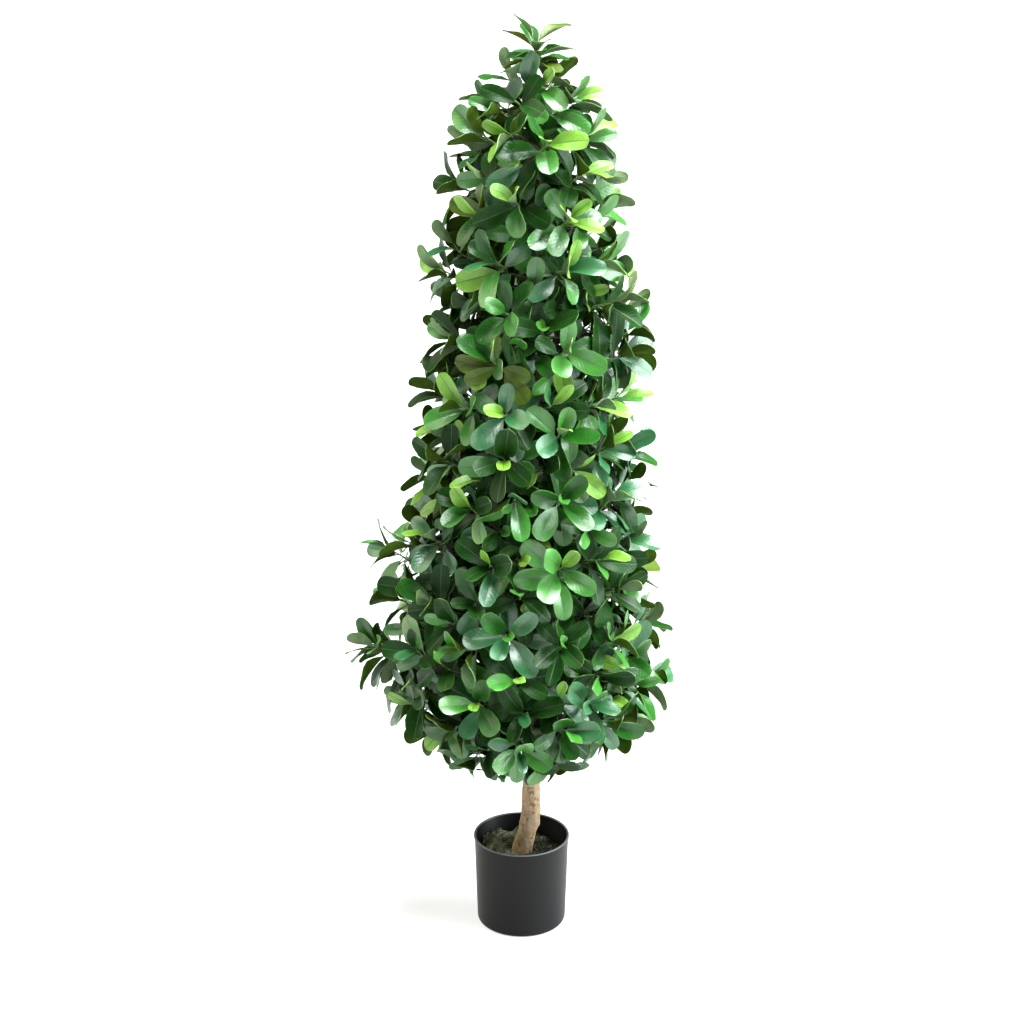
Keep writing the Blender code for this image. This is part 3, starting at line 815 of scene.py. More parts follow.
def bark_relief(point, knots):
    """How far the bark stands out at a place."""
    relief = sum(noise.noise(Vector((point.x * across, point.y * across, point.z * along))) * proud
                 for across, along, proud in BARK_RELIEF)
    for knot, size in knots:
        away = (point - knot).length / size
        if away < KNOT_REACH:
            eye = KNOT_EYE * math.exp(-away * away * EYE_NARROW)
            relief += KNOT_SWELL * math.exp(-away * away) - eye
    return relief


def trunk_mesh(settings):
    """Level rings from the foot to the tip, raised by the bark's relief."""
    draw = random.Random(settings.knot_seed)
    knots = []
    for _ in range(settings.knots):
        height = mix(TRUNK_FOOT + KNOTS_FROM, KNOTS_BELOW, draw.random() ** KNOTS_CLOSE_LOW)
        place = trunk_centre(height) + outward(draw.uniform(0, math.tau)) * trunk_radius(height)
        knots.append((place, draw.uniform(*KNOT_SIZES)))
    heights = [mix(TRUNK_FOOT, TRUNK_TOP, (i / BARK_RINGS) ** RINGS_CLOSE_LOW)
               for i in range(BARK_RINGS + 1)]
    line = [trunk_centre(height) for height in heights]
    bm = tube(line, [trunk_radius(height) for height in heights], settings.sides, level=True)
    for vertex in bm.verts:
        away = vertex.co - trunk_centre(vertex.co.z)
        vertex.co += away.normalized() * bark_relief(vertex.co, knots)
    return finish_mesh(bm, "trunk_bark", TUBE_SHARP)


def crown_centre(height):
    """The axis that the crown's reach is measured from."""
    share = (height - CROWN_BOTTOM) / (CROWN_TOP - CROWN_BOTTOM)
    return Vector((CROWN_LEAN * share, 0.0, height))


def crown_reach(azimuth, height):
    """How far the leaf tips reach from the crown's axis, at an azimuth and height."""
    if height < CROWN_BOTTOM or height > CROWN_TOP:
        return 0.0
    if height < WIDEST_AT:
        drop = (WIDEST_AT - height) / (WIDEST_AT - CROWN_BOTTOM)
        reach = WIDEST_REACH * math.sqrt(1.0 - drop * drop)
    elif height < SHOULDER_AT:
        share = (height - WIDEST_AT) / (SHOULDER_AT - WIDEST_AT)
        reach = mix(WIDEST_REACH, SHOULDER_REACH, share)
    else:
        share = (height - SHOULDER_AT) / (TIP_FROM - SHOULDER_AT)
        reach = mix(SHOULDER_REACH, TIP_REACH, min(share, 1.0))
    for stray_azimuth, stray_height, stray_reach in STRAY_SPRAYS:
        turn = math.remainder(azimuth - math.radians(stray_azimuth), math.tau) / STRAY_WIDTH
        rise = (height - stray_height) / STRAY_HEIGHT
        reach += max(stray_reach - reach, 0.0) * math.exp(-turn * turn - rise * rise)
    return reach


class Space:
    """The room that one mass keeps to: a sector of a tier, round the trunk."""

    def __init__(self, tier, sector):
        count = TIER_MASSES[tier]
        self.floor = TIER_FLOORS[tier]
        self.ceiling = (*TIER_FLOORS, CROWN_TOP)[tier + 1]
        self.lowest = max(self.floor, CROWN_BOTTOM + UNDERSIDE_DEPTH)
        self.half_angle = math.pi / count
        self.azimuth = math.radians(TIER_TURN * tier) + math.tau * sector / count
        self.whole = count == 1
        self.is_top = tier == len(TIER_MASSES) - 1

    def holds(self, point, margin):
        """Whether a point lies inside the space by at least the margin."""
        from_trunk = point - trunk_centre(point.z)
        run = math.hypot(from_trunk.x, from_trunk.y)
        level = point.z - TIER_RISE * run
        slant = margin * math.hypot(1.0, TIER_RISE)
        if level < self.floor + slant:
            return False
        if not self.is_top and level > self.ceiling - slant:
            return False
        if not self.whole:
            turn = math.remainder(math.atan2(from_trunk.y, from_trunk.x) - self.azimuth, math.tau)
            room = self.half_angle - abs(turn)
            if run * math.sin(min(max(room, -math.pi / 2), math.pi / 2)) < margin:
                return False
        from_axis = point - crown_centre(point.z)
        azimuth = math.atan2(from_axis.y, from_axis.x)
        return math.hypot(from_axis.x, from_axis.y) <= crown_reach(azimuth, point.z)

    def stem_points(self):
        """The stem: level where it meets the trunk, then curving up and out."""
        if self.is_top:
            start = trunk_centre(TRUNK_TOP) + UP * GAP
            end = crown_centre(CROWN_TOP - ROSETTE_DEPTH)
            return [start, start.lerp(end, 0.5), end]
        direction = outward(self.azimuth)
        middle = mix(self.lowest, self.ceiling, STEM_START)
        start = trunk_centre(middle) + direction * (trunk_radius(middle) + GAP)
        run = STEM_SHARE * crown_reach(self.azimuth, middle)
        end = start + direction * run + UP * (TIER_RISE * run)
        level_end = start + direction * STEM_LEVEL_RUN
        return [start, level_end, level_end.lerp(end, 0.5), end]

    def free_places(self, depths, margin, draw):
        """Places inside, at one depth under the crown's outline or between two."""
        high = CROWN_TOP - depths[0] if self.is_top else self.ceiling + ROSETTE_RISE
        places = []
        for _ in range(CANDIDATES):
            azimuth = self.azimuth + draw.uniform(-1.0, 1.0) * self.half_angle
            depth = depths[0]
            if len(depths) > 1:
                depth = mix(*depths, draw.random() ** MOSTLY_SHALLOW)
            place = rosette_anchor(azimuth, draw.uniform(self.lowest, high), depth)
            if self.holds(place, margin):
                places.append(place)
        return places


def rosette_anchor(azimuth, height, depth):
    """Where a rosette sits, at a depth under the crown's outline."""
    reach = crown_reach(azimuth, height) - depth
    return crown_centre(height) + outward(azimuth) * max(reach, 0.0)


def spread_out(anchors, choices, taken, count):
    """Add to the anchors, each time the choice that is furthest from all others."""
    while choices and len(anchors) < count:
        others = taken + anchors
        best = max(choices, key=lambda choice: min(
            ((choice - other).length for other in others), default=math.inf))
        choices.remove(best)
        anchors.append(best)
    taken.extend(anchors)
    return anchors


def rosette_direction(anchor, draw, spread, droop):
    """Rosettes face out of the crown and lift towards the light."""
    facing = anchor - crown_centre(anchor.z)
    facing.z = 0.0
    facing = facing.normalized() if facing.length > GAP else Vector()
    below = smooth((WIDEST_AT - anchor.z) / (WIDEST_AT - CROWN_BOTTOM))
    above = smooth((anchor.z - SHOULDER_AT) / (CROWN_TOP - SHOULDER_AT))
    lift = mix(ROSETTE_LIFT, -droop, below) + TOP_LIFT * above
    jitter = Vector([draw.uniform(-spread, spread) for _ in range(3)])
    return (facing + UP * lift + jitter).normalized()


def eased(facing, heading):
    """A facing, turned until a twig with that heading can bend into it."""
    while heading.dot(facing) < LEAST_BEND:
        facing = (facing + BEND_STEP * heading).normalized()
    return facing


class Thicket:
    """Everything grown so far, in cells, to find what a new shape would cross."""

    def __init__(self):
        self.cells = collections.defaultdict(list)

    def cells_of(self, points):
        """Every cell that a box round the points reaches."""
        low, high = ([math.floor(end(point[axis] for point in points) / THICKET_CELL)
                      for axis in range(3)] for end in (min, max))
        return itertools.product(*(range(low[axis], high[axis] + 1) for axis in range(3)))

    def add(self, points, surface):
        for cell in self.cells_of(points):
            self.cells[cell].append(surface)

    def crosses(self, points, surface, own=None):
        near = {id(other): other for cell in self.cells_of(points) for other in self.cells[cell]}
        return any(other is not own and surface.overlap(other) for other in near.values())


def tube_surface(points, radii, sides=3):
    """A coarse tube's corners and faces, to test what crosses it."""
    corners, faces = [], []
    for i, point in enumerate(points):
        heading = points[min(i + 1, len(points) - 1)] - points[max(i - 1, 0)]
        side = heading.orthogonal().normalized()
        for turn in range(sides):
            spoke = Matrix.Rotation(math.tau * turn / sides, 3, heading) @ side
            corners.append(point + spoke * radii[i])
            if i:
                low, high = (i - 1) * sides, i * sides
                after = (turn + 1) % sides
                faces.append((low + turn, low + after, high + after, high + turn))
    return corners, BVHTree.FromPolygons(corners, faces)


class LeafShape:
    """One form of leaf: an obovate blade on a short stalk, folded and bent."""

    def __init__(self, length, width, fold, bend, twist, ripple):
        self.length = length
        self.width = width
        self.fold = math.tan(math.radians(fold))
        self.bend = bend
        self.twist = twist
        self.ripple = ripple

    def half_width(self, along):
        """Half the blade's width at a share of its length."""
        stalk = self.width * STALK_WIDTH
        if along <= STALK_SHARE:
            return stalk
        share = (along - STALK_SHARE) / (1.0 - STALK_SHARE)
        outline = share ** OUTLINE_FOOT * (1.0 - share) ** OUTLINE_TIP / OUTLINE_MOST
        return max(stalk, self.width * 0.5 * outline)

    def point(self, across, along):
        """A place on the blade, which runs along -Y and faces +Z."""
        level = along - TIP_ROUND * across * across * along ** 3
        half = self.half_width(along - TIP_ROUND * along ** 3)
        x = across * half
        blade = smooth((along - FOLDS_FROM) / FOLDS_OVER)
        fold = self.fold * mix(1.0, TIP_FOLD, smooth((along - OPENS_FROM) / OPENS_OVER))
        rise = abs(across) ** FOLD_CURVE * half * fold * blade
        rise -= across * across * half * EDGE_DROP * blade
        wave = math.sin(along * RIPPLES + across * RIPPLE_LAG)
        rise += self.ripple * half * across * across * wave
        z = rise - self.bend * self.length * along * along
        lean = self.twist * along * along
        turned = x * math.cos(lean) - z * math.sin(lean) * TWIST_SLANT
        return Vector((turned, -level * self.length, z + x * math.sin(lean)))

    def coarse(self):
        """A few corners and faces of the blade, to test what it crosses."""
        corners = [self.point(across, along)
                   for along in COARSE_ROWS for across in (-1.0, 0.0, 1.0)]
        firsts = [row * 3 + column for row in range(len(COARSE_ROWS) - 1) for column in range(2)]
        return corners, [(first, first + 1, first + 4, first + 3) for first in firsts]

    def arrays(self, thickness):
        """The blade's points, faces, kinds of face and leaf map, as arrays."""
        columns, rows = len(LEAF_COLUMNS) - 1, len(LEAF_ROWS) - 1
        bm = bmesh.new()
        bmesh.ops.create_grid(bm, x_segments=columns, y_segments=rows, size=1.0)
        leaf_map = bm.loops.layers.uv.new(LEAF_MAP)
        for face in bm.faces:
            for loop in face.loops:
                column = round((loop.vert.co.x + 1.0) / 2.0 * columns)
                row = round((loop.vert.co.y + 1.0) / 2.0 * rows)
                loop[leaf_map].uv = (LEAF_COLUMNS[column] / 2.0 + 0.5, LEAF_ROWS[row])
        for vertex in bm.verts:
            across, along = vertex.link_loops[0][leaf_map].uv
            vertex.co = self.point(across * 2.0 - 1.0, along)
        bm.normal_update()
        if bm.faces[:][len(bm.faces) // 2].normal.z < 0.0:
            bmesh.ops.reverse_faces(bm, faces=bm.faces[:])
        bmesh.ops.solidify(bm, geom=bm.faces[:], thickness=thickness)
        bmesh.ops.recalc_face_normals(bm, faces=bm.faces[:])
        bm.normal_update()
        kinds = []
        for face in bm.faces:
            places = [loop[leaf_map].uv for loop in face.loops]
            middle = sum(place.x for place in places) / len(places)
            if any(len({round(place[axis], 3) for place in places}) == 1 for axis in range(2)):
                kinds.append("rim")
            elif abs(middle - 0.5) < 0.02 and face.normal.z > 0.0:
                kinds.append("rib")
            else:
                kinds.append("face" if face.normal.z > 0.0 else "under")
        points, faces = read_out(bm)
        places = np.array([[loop[leaf_map].uv for loop in face.loops] for face in bm.faces])
        bm.free()
        return points, faces, kinds, places


def leaf_frame(root, along, face, size, slimness):
    """The placing of a leaf that runs along one direction and faces another."""
    across = face.cross(along).normalized()
    face = along.cross(across).normalized()
    turn = Matrix((across, -along, face)).transposed()
    return Matrix.LocRotScale(root, turn, Vector((size * slimness, size, size)))


def spray_place(anchor):
    """How far right, how deep and how high in the crown a spray hangs."""
    axis = crown_centre(anchor.z)
    azimuth = math.atan2(anchor.y, anchor.x - axis.x)
    reach = max(crown_reach(azimuth, anchor.z), LEAST_REACH)
    right = (anchor.x - axis.x) / reach
    depth = reach - math.hypot(anchor.x - axis.x, anchor.y)
    high = (anchor.z - CROWN_BOTTOM) / (CROWN_TOP - CROWN_BOTTOM)
    return right, depth, high


class Crown:
    """The whole crown: grown mass by mass, then gathered tier by tier."""

    def __init__(self, leaf_length, leaf_width):
        self.shapes = [LeafShape(leaf_length, leaf_width, *form) for form in LEAF_FORMS]
        self.coarse = [shape.coarse() for shape in self.shapes]
        self.thicket = Thicket()
        self.twigs = [[] for _ in TIER_MASSES]
        self.leaves = [[] for _ in TIER_MASSES]
        self.guard_trunk()
        masses = [Mass(self, tier, sector)
                  for tier, count in enumerate(TIER_MASSES) for sector in range(count)]
        taken = []
        for mass in masses:
            mass.grow_limbs(TIER_ROSETTES[mass.tier], taken)
        for mass in masses:
            mass.grow_shoots(TIER_SHOOTS[mass.tier], taken)
        for mass in masses:
            for rosette in mass.rosettes:
                mass.grow_rosette(*rosette)

    def guard_trunk(self):
        """Keep the leaves and shoots clear of the trunk."""
        heights = [mix(TRUNK_FOOT, TRUNK_TOP, i / GUARD_STEPS) for i in range(GUARD_STEPS + 1)]
        points = [trunk_centre(height) for height in heights]
        radii = [trunk_radius(height) + TRUNK_CLEARANCE for height in heights]
        for i in range(GUARD_STEPS):
            self.thicket.add(*tube_surface(points[i:i + 2], radii[i:i + 2], GUARD_SIDES))


class Mass:
    """One mass of foliage: a stem, its twigs and shoots, and their leaves."""

    def __init__(self, crown, tier, sector):
        seed = CROWN_SEED + 10 * tier + sector
        self.crown = crown
        self.tier = tier
        self.space = Space(tier, sector)
        self.draw = random.Random(seed)
        self.fine_draw = random.Random(SHOOT_SEED + seed)
        self.rosettes = []
        self.lines = []

    def add_twig(self, points, radii, tip_from=None):
        corners, surface = tube_surface(points, radii)
        twig = Twig(points, radii, tip_from, surface)
        self.crown.twigs[self.tier].append(twig)
        self.crown.thicket.add(corners, surface)
        return twig

    def grow_limbs(self, count, taken):
        """The stem and the twigs that the frame's mass has, as finer tubes."""
        space = self.space
        stem = space.stem_points()
        line = curve_through(stem, 4)
        radii = tapered(line, STEM_RADIUS, TWIG_RADIUS)
        facing = (stem[-1] - stem[0]).normalized()
        if space.is_top:
            line.append(stem[-1] + facing * TOP_LEADER)
            radii = tapered(line, TRUNK_TOP_RADIUS * TOP_STEM_SHARE, TIP_RADIUS)
        twig = self.add_twig(line, radii)
        self.lines.append(line)
        if space.is_top:
            self.grow_leader(line[-1], (line[-1] - line[-2]).normalized(), twig)
            self.rosettes.append((stem[-1], facing, twig, TWIG_LEAVES))
            taken.append(stem[-1])
        strays = [rosette_anchor(math.radians(azimuth), height, ROSETTE_DEPTH)
                  for azimuth, height, _ in STRAY_SPRAYS]
        strays = [stray for stray in strays if space.holds(stray, ANCHOR_MARGIN / 2)]
        choices = space.free_places([ROSETTE_DEPTH], ANCHOR_MARGIN, self.draw)
        for anchor in spread_out(strays, choices, taken, count):
            self.grow_twig(stem, anchor)

    def grow_leader(self, tip, facing, twig):
        """The leaves round the tree's tip."""
        for azimuth, opening, drop, size, slimness, tone in LEADER_LEAVES:
            side = outward(math.radians(azimuth))
            side = (side - side.dot(facing) * facing).normalized()
            place = (tip - facing * drop, facing, side, 0.0, math.radians(opening), 0.0)
            self.grow_leaf(place, size, slimness, LEADER_FORM, tone, twig)

    def grow_twig(self, stem, anchor):
        """A twig from the stem to a rosette, where the space has room for it."""
        facing = rosette_direction(anchor, self.draw, **TWIG_FACING)
        facing = eased(facing, (anchor - stem[1]).normalized())
        foot = anchor - facing * ROSETTE_STALK
        reach = (foot - stem[0]).length / ((stem[-1] - stem[0]).length + ROSETTE_DEPTH)
        share = TWIG_START * reach + self.draw.uniform(-TWIG_START_SPREAD, TWIG_START_SPREAD)
        place = min(max(share, FIRST_TWIG), LAST_TWIG) * (len(stem) - 1)
        step = min(int(place), len(stem) - 2)
        start = stem[step].lerp(stem[step + 1], place - step)
        along = [start.lerp(foot, 0.35), start.lerp(foot, 0.7), foot]
        along += [foot.lerp(anchor, 0.5), anchor]
        if all(self.space.holds(point, TWIG_CLEARANCE) for point in along):
            line = curve_through([start, foot, anchor + facing * LEADER], 5)
            radii = tapered(line, TWIG_RADIUS, TIP_RADIUS)
            twig = self.add_twig(line, radii, len(line) - GREEN_POINTS)
            self.lines.append(line)
            self.rosettes.append((line[-1], facing, twig, TWIG_LEAVES))

    def grow_shoots(self, count, taken):
        """Finer shoots, each from the nearest limb that lies further in."""
        choices = self.space.free_places(SHOOT_DEPTHS, SHOOT_MARGIN, self.fine_draw)
        limbs = [point for line in self.lines for point in line[1:-2]]
        for anchor in spread_out([], choices, taken, count):
            facing = rosette_direction(anchor, self.fine_draw, **SHOOT_FACING)
            axis = crown_centre(anchor.z)
            reach = (anchor - axis).length - FURTHER_IN
            inner = [point for point in limbs if (point - axis).length < reach] or limbs
            start = min(inner, key=lambda point: (anchor - point).length)
            facing = eased(facing, (anchor - start).normalized())
            foot = anchor - facing * min(SHOOT_STALK, 0.5 * (anchor - start).length)
            line = curve_through([start, foot, anchor], 4)
            radii = tapered(line, SHOOT_RADIUS, TIP_RADIUS)
            if not self.crown.thicket.crosses(*tube_surface(line[2:], radii[2:])):
                twig = self.add_twig(line, radii, len(line) - GREEN_POINTS)
                self.rosettes.append((line[-1], facing, twig, SHOOT_LEAVES))

    def spray_tone(self, right, depth, high):
        """The tone that most of a spray's leaves have, by where it hangs: the tones paint the
        crown's light and shade.
        """
        side = min(abs(right), 1.0)
        low_middle_shade = (1.0 - side) * (1.0 - high)
        shaded = max(depth - SHADED_FROM, 0.0)
        # Painted shade: the deep tone deep in the crown, in its low middle and less to the right.
        # Painted light: waxy and fresh tones to the right, at the sides and high up, and olive at
        # the sides as painted backlight.
        weights = {
            "deep": 0.13 + 1.70 * low_middle_shade - 0.13 * right + 26.0 * shaded,
            "green": 0.28,
            "waxy": 0.22 + 0.10 * right + 0.08 * high,
            "fresh": 0.08 + 0.12 * right + 0.22 * side * (0.4 + high) + 0.12 * high,
            "olive": 0.24 * side ** 3 + 0.02 * high,
        }
        shares = [max(weight, LEAST_WEIGHT) for weight in weights.values()]
        return self.fine_draw.choices(list(weights), shares)[0]

    def leaf_tone(self, tone, is_new):
        """A leaf mostly keeps its spray's tone; a new one is often brighter."""
        chance = self.fine_draw.random()
        if is_new and chance < NEWEST_BRIGHT:
            return "young" if chance < NEWEST_YOUNG else "fresh"
        if chance < (KEEPS_OLIVE if tone == "olive" else KEEPS_TONE):
            return tone
        return self.fine_draw.choice(NEAR_TONES[tone])

    def grow_rosette(self, anchor, facing, twig, count):
        """The leaves of one rosette, round its twig's end."""
        draw = self.fine_draw
        side = facing.orthogonal().normalized()
        turn = draw.uniform(0.0, math.tau)
        right, depth, high = spray_place(anchor)
        tone = self.spray_tone(right, depth, high)
        # More bright young leaves high up and at the sides: new growth at the top, and painted
        # light at the sides.
        young_leaves = 2 if high * (1.0 + abs(right)) > YOUNG_FROM else 1
        for i in range(count):
            turn += GOLDEN_ANGLE
            opening = mix(FIRST_OPENING, LAST_OPENING, (i / (count - 1)) ** OPENS_EARLY)
            opening += draw.uniform(-OPENING_SPREAD, OPENING_SPREAD)
            root = anchor - facing * (FIRST_ROOT + LEAF_STEP * i)
            size = 1.0 + draw.uniform(-LEAF_SPREAD, LEAF_SPREAD)
            slimness = draw.uniform(*SLIMNESS)
            if i == 0:
                size *= NEWEST_SIZE
                slimness *= NEWEST_SLIMNESS
            shape = draw.randrange(len(LEAF_FORMS))
            roll = math.radians(draw.uniform(-ROLL_SPREAD, ROLL_SPREAD))
            leaf_tone = self.leaf_tone(tone, i < young_leaves)
            place = (root, facing, side, turn, math.radians(opening), roll)
            self.grow_leaf(place, size, slimness, shape, leaf_tone, twig)

    def grow_leaf(self, place, size, slimness, shape, tone, twig):
        """Try a few turns and sizes, and skip the leaf if none finds room."""
        root, facing, side, turn, opening, roll = place
        droop = UP * (-DROOP * math.sin(opening) ** 2)
        crown = self.crown
        corners, faces = crown.coarse[shape]
        for fit in LEAF_FITS:
            for shift in LEAF_TURNS:
                away = Matrix.Rotation(turn + shift, 3, facing) @ side
                along = facing * math.cos(opening) + away * math.sin(opening)
                along = (along + droop).normalized()
                face = facing * math.sin(opening) - away * math.cos(opening)
                face = Matrix.Rotation(roll, 3, along) @ face
                matrix = leaf_frame(root, along, face, size * fit, slimness)
                points = [matrix @ corner for corner in corners]
                if not all(self.space.holds(point, OVERHANG) for point in points[6:]):
                    continue
                surface = BVHTree.FromPolygons(points, faces)
                if not crown.thicket.crosses(points, surface, twig.surface):
                    crown.thicket.add(points, surface)
                    crown.leaves[self.tier].append(Leaf(shape, matrix, tone))
                    return


@functools.cache
def grown_crown(leaf_length, leaf_width):
    """The crown, grown once for the twigs and the leaves."""
    return Crown(leaf_length, leaf_width)


def leaves_mesh(name, leaves, templates, slots):
    """All the leaves of a tier in one mesh, made from the forms' arrays."""
    parts, places = [], []
    for leaf in leaves:
        form_points, form_faces, form_kinds, form_places = templates[leaf.shape]
        matrix = np.array(leaf.frame)
        under, rib = TONES[leaf.tone][4:]
        rim = "rim_young" if leaf.tone == "young" else "rim_green"
        names = {"face": leaf.tone, "under": under, "rib": rib, "rim": rim}
        kinds = [slots.index(names[kind]) for kind in form_kinds]
        points = form_points @ matrix[:3, :3].T + matrix[:3, 3]
        parts.append(Part(points, form_faces, kinds))
        places.append(form_places)
    mesh = joined_mesh(name, parts, LEAF_SHARP)
    leaf_map = mesh.uv_layers.new(name=LEAF_MAP)
    leaf_map.data.foreach_set("uv", np.concatenate(places).astype(np.float32).ravel())
    return mesh


def tier_nodes(tier):
    """The frame's masses in a tier."""
    start = "foliage_" + TIER_NAMES[tier].removeprefix("tier_")
    return [name for name in MASSES if name.startswith(start)]


Length = functools.partial(FloatProperty, unit="LENGTH", precision=4)
Tint = functools.partial(FloatVectorProperty, subtype="COLOR", min=0.0, max=1.0)
Power = functools.partial(FloatProperty, min=0.0)
Count = functools.partial(IntProperty, min=0)


class FicusPotSettings(bpy.types.PropertyGroup):
    foot_radius: Length(name="Foot radius", description="Radius above the rounded foot",
                        default=0.0590, min=0.02)
    wall: Length(name="Wall", description="Thickness of the wall", default=0.0020, min=0.001)
    corner: Length(name="Corner", description="Rounding of the lower edge",
                   default=0.0060, min=0.001)
    bead: Length(name="Bead", description="How far the rim's bead stands proud",
                 default=0.0012, min=0.0002)
    bead_height: Length(name="Bead height", description="Height of the rim's bead",
                        default=0.0032, min=0.001)
    sides: Count(name="Sides", description="Steps round the pot", default=112, min=12)
    colour: Tint(name="Colour", description="Colour of the plastic",
                 default=(0.0062, 0.0064, 0.0067))


class FicusMossSettings(bpy.types.PropertyGroup):
    shreds: Count(name="Shreds", description="Number of loose strands", default=2300)
    wisps: Count(name="Wisps", description="Number of pale, longer strands", default=220)
    seed: IntProperty(name="Seed", description="Seed of the strands' places", default=5)
    dark: Tint(name="Dark", description="Moss in the hollows", default=(0.036, 0.041, 0.024))
    light: Tint(name="Light", description="Moss on the tufts", default=(0.150, 0.160, 0.102))


class FicusTrunkSettings(bpy.types.PropertyGroup):
    sides: Count(name="Sides", description="Steps round the trunk", default=44, min=8)
    knots: Count(name="Knots", description="Number of knots in the bark", default=14)
    knot_seed: IntProperty(name="Knot seed", description="Seed of the knots' places", default=3)
    pale: Tint(name="Pale bark", description="Colour of the peeled bark",
               default=(0.366, 0.260, 0.136))
    dark: Tint(name="Dark bark", description="Colour of its specks and stains",
               default=(0.120, 0.066, 0.032))


class FicusCrownSettings(bpy.types.PropertyGroup):
    leaf_length: Length(name="Leaf length", description="Length of a full leaf with its stalk",
                        default=0.0520, min=0.01)
    leaf_width: Length(name="Leaf width", description="Width of a full leaf",
                       default=0.0256, min=0.005)
    leaf_thickness: Length(name="Leaf thickness", description="Thickness of the leaf cloth",
                           default=0.0006, min=0.0001, precision=5)
    bark: Tint(name="Twig colour", description="Colour of the wrapped twigs",
               default=(0.030, 0.019, 0.012))
    shoot: Tint(name="Shoot colour", description="Colour of the twigs' green ends",
                default=(0.10, 0.15, 0.055))


class FicusStageSettings(bpy.types.PropertyGroup):
    floor: Tint(name="Floor", description="Colour of the floor", default=(0.22, 0.22, 0.22))
    glow: Power(name="Glow", description="Light that the floor gives off, to lift its shadows",
                default=0.75)
    sky: Power(name="Sky", description="Strength of the light from above, all round", default=0.14)
    wall: Power(name="Wall", description="Strength of the light from the level, all round",
                default=0.96)
    top: Power(name="Top light", description="Strength of the broad light overhead", default=16.2)
    window: Power(name="Window light", description="Strength of the light from the right",
                  default=5.8)
    room: Power(name="Room light", description="Strength of the light from the back left",
                default=2.8)


class FICUS_OT_pot(bpy.types.Operator):
    """Make the pot's shell"""

    bl_idname = "ficus.pot"
    bl_label = "Pot"

    def execute(self, context):
        settings = context.scene.ficus_pot
        colour = list(settings.colour)
        finishes = [pot_finish(name, scaled(colour, paler), shine)
                    for name, (paler, shine) in POT_FINISHES.items()]
        new_piece("pot_shell", pot_mesh(settings), finishes, ["pot"])
        return {"FINISHED"}


class FICUS_OT_cement(bpy.types.Operator):
    """Finish the cement under the moss"""

    bl_idname = "ficus.cement"
    bl_label = "Cement"

    def execute(self, context):
        material = cement_finish()
        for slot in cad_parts["cement_fill"].material_slots:
            slot.material = material
        return {"FINISHED"}


class FICUS_OT_moss(bpy.types.Operator):
    """Make the bed of moss and its loose shreds"""

    bl_idname = "ficus.moss"
    bl_label = "Moss"

    def execute(self, context):
        settings = context.scene.ficus_moss
        dark, light, seed = list(settings.dark), list(settings.light), settings.seed
        # The bed is painted darker than the strands on it, as shade in the gaps between them.
        bed = moss_finish("moss_bed", scaled(dark, 0.5), scaled(light, 0.5))
        shreds = moss_finish("moss_shreds", scaled(dark, 1.9), scaled(light, 1.55))
        # The pale wisps, kept only on the raised moss, are partly pale strands and partly a painted
        # highlight on it.
        wisps = moss_finish("moss_wisps", scaled(light, 2.2), scaled(light, 3.8))
        pieces = (
            (bed, moss_bed_mesh()),
            (shreds, moss_strand_mesh("moss_shreds", settings.shreds, seed, SHRED_LENGTHS)),
            (wisps, moss_strand_mesh("moss_wisps", settings.wisps, seed + 1, WISP_LENGTHS,
                                     MOSS_LEVEL)),
        )
        for finish, mesh in pieces:
            new_piece(mesh.name, mesh, [finish], ["moss_bed"])
        return {"FINISHED"}


class FICUS_OT_trunk(bpy.types.Operator):
    """Make the trunk with its bark"""

    bl_idname = "ficus.trunk"
    bl_label = "Trunk"

    def execute(self, context):
        settings = context.scene.ficus_trunk
        material = bark_finish(list(settings.pale), list(settings.dark))
        new_piece("trunk_bark", trunk_mesh(settings), [material], ["trunk"])
        return {"FINISHED"}


class FICUS_OT_twigs(bpy.types.Operator):
    """Make the stems, twigs and shoots of every tier"""

    bl_idname = "ficus.twigs"
    bl_label = "Twigs"

    def execute(self, context):
        settings = context.scene.ficus_crown
        crown = grown_crown(settings.leaf_length, settings.leaf_width)
        finishes = [
            twig_finish("twig_bark", list(settings.bark), 2.2, 0.55),
            twig_finish("twig_shoot", list(settings.shoot), 1.7, 0.45),
        ]
        for tier, twigs in enumerate(crown.twigs):
            name = "twigs_" + TIER_NAMES[tier]
            parts = [tube_part(twig.points, twig.radii, TWIG_SIDES, twig.tip_from)
                     for twig in twigs]
            mesh = joined_mesh(name, parts, TUBE_SHARP)
            new_piece(name, mesh, finishes, tier_nodes(tier))
        return {"FINISHED"}


class FICUS_OT_leaves(bpy.types.Operator):
    """Make the leaves of every tier"""

    bl_idname = "ficus.leaves"
    bl_label = "Leaves"

    def execute(self, context):
        settings = context.scene.ficus_crown
        crown = grown_crown(settings.leaf_length, settings.leaf_width)
        finishes = leaf_finishes()
        templates = [shape.arrays(settings.leaf_thickness) for shape in crown.shapes]
        for tier, leaves in enumerate(crown.leaves):
            name = "leaves_" + TIER_NAMES[tier]
            mesh = leaves_mesh(name, leaves, templates, list(finishes))
            new_piece(name, mesh, finishes.values(), tier_nodes(tier))
        return {"FINISHED"}


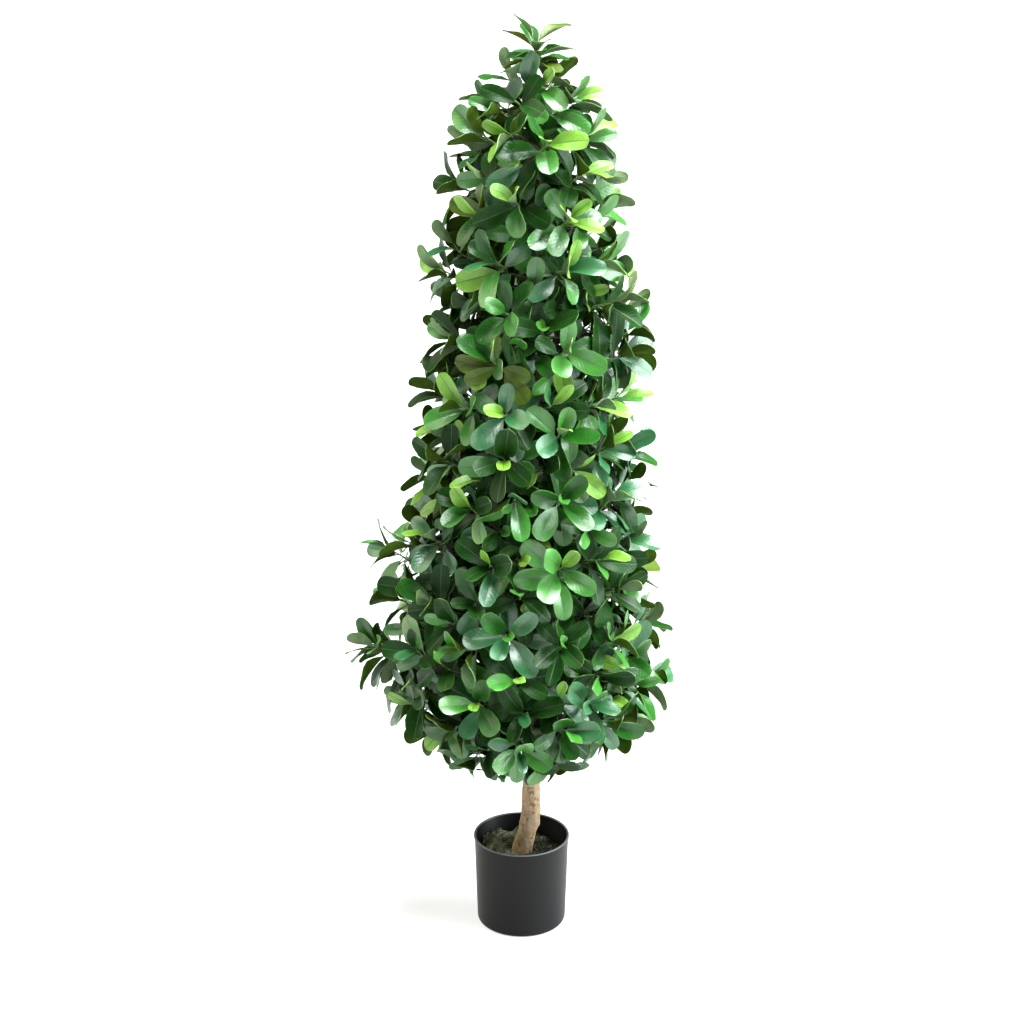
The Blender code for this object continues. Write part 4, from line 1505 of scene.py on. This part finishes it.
class FICUS_OT_stage(bpy.types.Operator):
    """Make the floor, the lights and the camera"""

    bl_idname = "ficus.stage"
    bl_label = "Stage"

    def execute(self, context):
        settings = context.scene.ficus_stage
        scene = context.scene
        bm = bmesh.new()
        bmesh.ops.create_grid(bm, x_segments=1, y_segments=1, size=FLOOR_SIZE)
        mesh = bpy.data.meshes.new("floor")
        bm.to_mesh(mesh)
        bm.free()
        floor = placed("floor", mesh)
        constants = {"Emission Color": (1.0, 1.0, 1.0), "Emission Strength": settings.glow}
        mesh.materials.append(Finish("floor", constants).done(list(settings.floor), 0.9))

        world = bpy.data.worlds.new("studio")
        world.use_nodes = True
        background = world.node_tree.nodes["Background"]
        studio = Shading(world.node_tree)
        direction = studio.add("ShaderNodeTexCoord", output="Generated")
        high = studio.axis(direction, "Z").clipped(0.0, WALL_TOP)
        strength = high * (settings.sky - settings.wall) + settings.wall
        studio.feed(background.inputs["Color"], STUDIO_COLOUR)
        studio.feed(background.inputs["Strength"], strength)
        scene.world = world

        for name, (toward, width, colour) in LIGHTS.items():
            light = bpy.data.lights.new(name + "_light", "SUN")
            light.angle = math.radians(width)
            light.energy = getattr(settings, name)
            light.color = colour
            lamp = placed(light.name, light)
            lamp.rotation_euler = (-Vector(toward)).to_track_quat("-Z", "Y").to_euler()

        lens = bpy.data.cameras.new("camera")
        lens.lens = CAMERA_LENS
        lens.sensor_width = CAMERA_SENSOR
        camera = placed("camera", lens)
        camera.location = CAMERA_PLACE
        camera.rotation_euler = (math.radians(CAMERA_TILT), 0.0, 0.0)
        scene.camera = camera
        scene.view_settings.view_transform = "Standard"
        return {"FINISHED"}


class FICUS_PT_panel(bpy.types.Panel):
    """Lists the tree's pieces in the sidebar"""

    bl_idname = "FICUS_PT_panel"
    bl_label = "Potted ficus tree"
    bl_space_type = "VIEW_3D"
    bl_region_type = "UI"
    bl_category = "Ficus"

    def draw(self, context):
        for operator, settings in PANEL_ROWS:
            self.layout.operator(operator.bl_idname)
            group = getattr(context.scene, settings) if settings else None
            for name in group.__annotations__ if group else ():
                self.layout.prop(group, name)


SETTINGS = {
    "ficus_pot": FicusPotSettings,
    "ficus_moss": FicusMossSettings,
    "ficus_trunk": FicusTrunkSettings,
    "ficus_crown": FicusCrownSettings,
    "ficus_stage": FicusStageSettings,
}
PANEL_ROWS = (
    (FICUS_OT_pot, "ficus_pot"),
    (FICUS_OT_cement, None),
    (FICUS_OT_moss, "ficus_moss"),
    (FICUS_OT_trunk, "ficus_trunk"),
    (FICUS_OT_twigs, "ficus_crown"),
    (FICUS_OT_leaves, None),
    (FICUS_OT_stage, "ficus_stage"),
)
CLASSES = (*SETTINGS.values(), *(operator for operator, _ in PANEL_ROWS), FICUS_PT_panel)


def register():
    for each in CLASSES:
        bpy.utils.register_class(each)
    for name, group in SETTINGS.items():
        setattr(bpy.types.Scene, name, PointerProperty(type=group))


def unregister():
    for name in SETTINGS:
        delattr(bpy.types.Scene, name)
    for each in reversed(CLASSES):
        bpy.utils.unregister_class(each)


def main():
    register()
    bpy.ops.ficus.pot()
    bpy.ops.ficus.cement()
    bpy.ops.ficus.moss()
    bpy.ops.ficus.trunk()
    bpy.ops.ficus.twigs()
    bpy.ops.ficus.leaves()
    bpy.ops.ficus.stage()


if __name__ == "__main__":
    main()
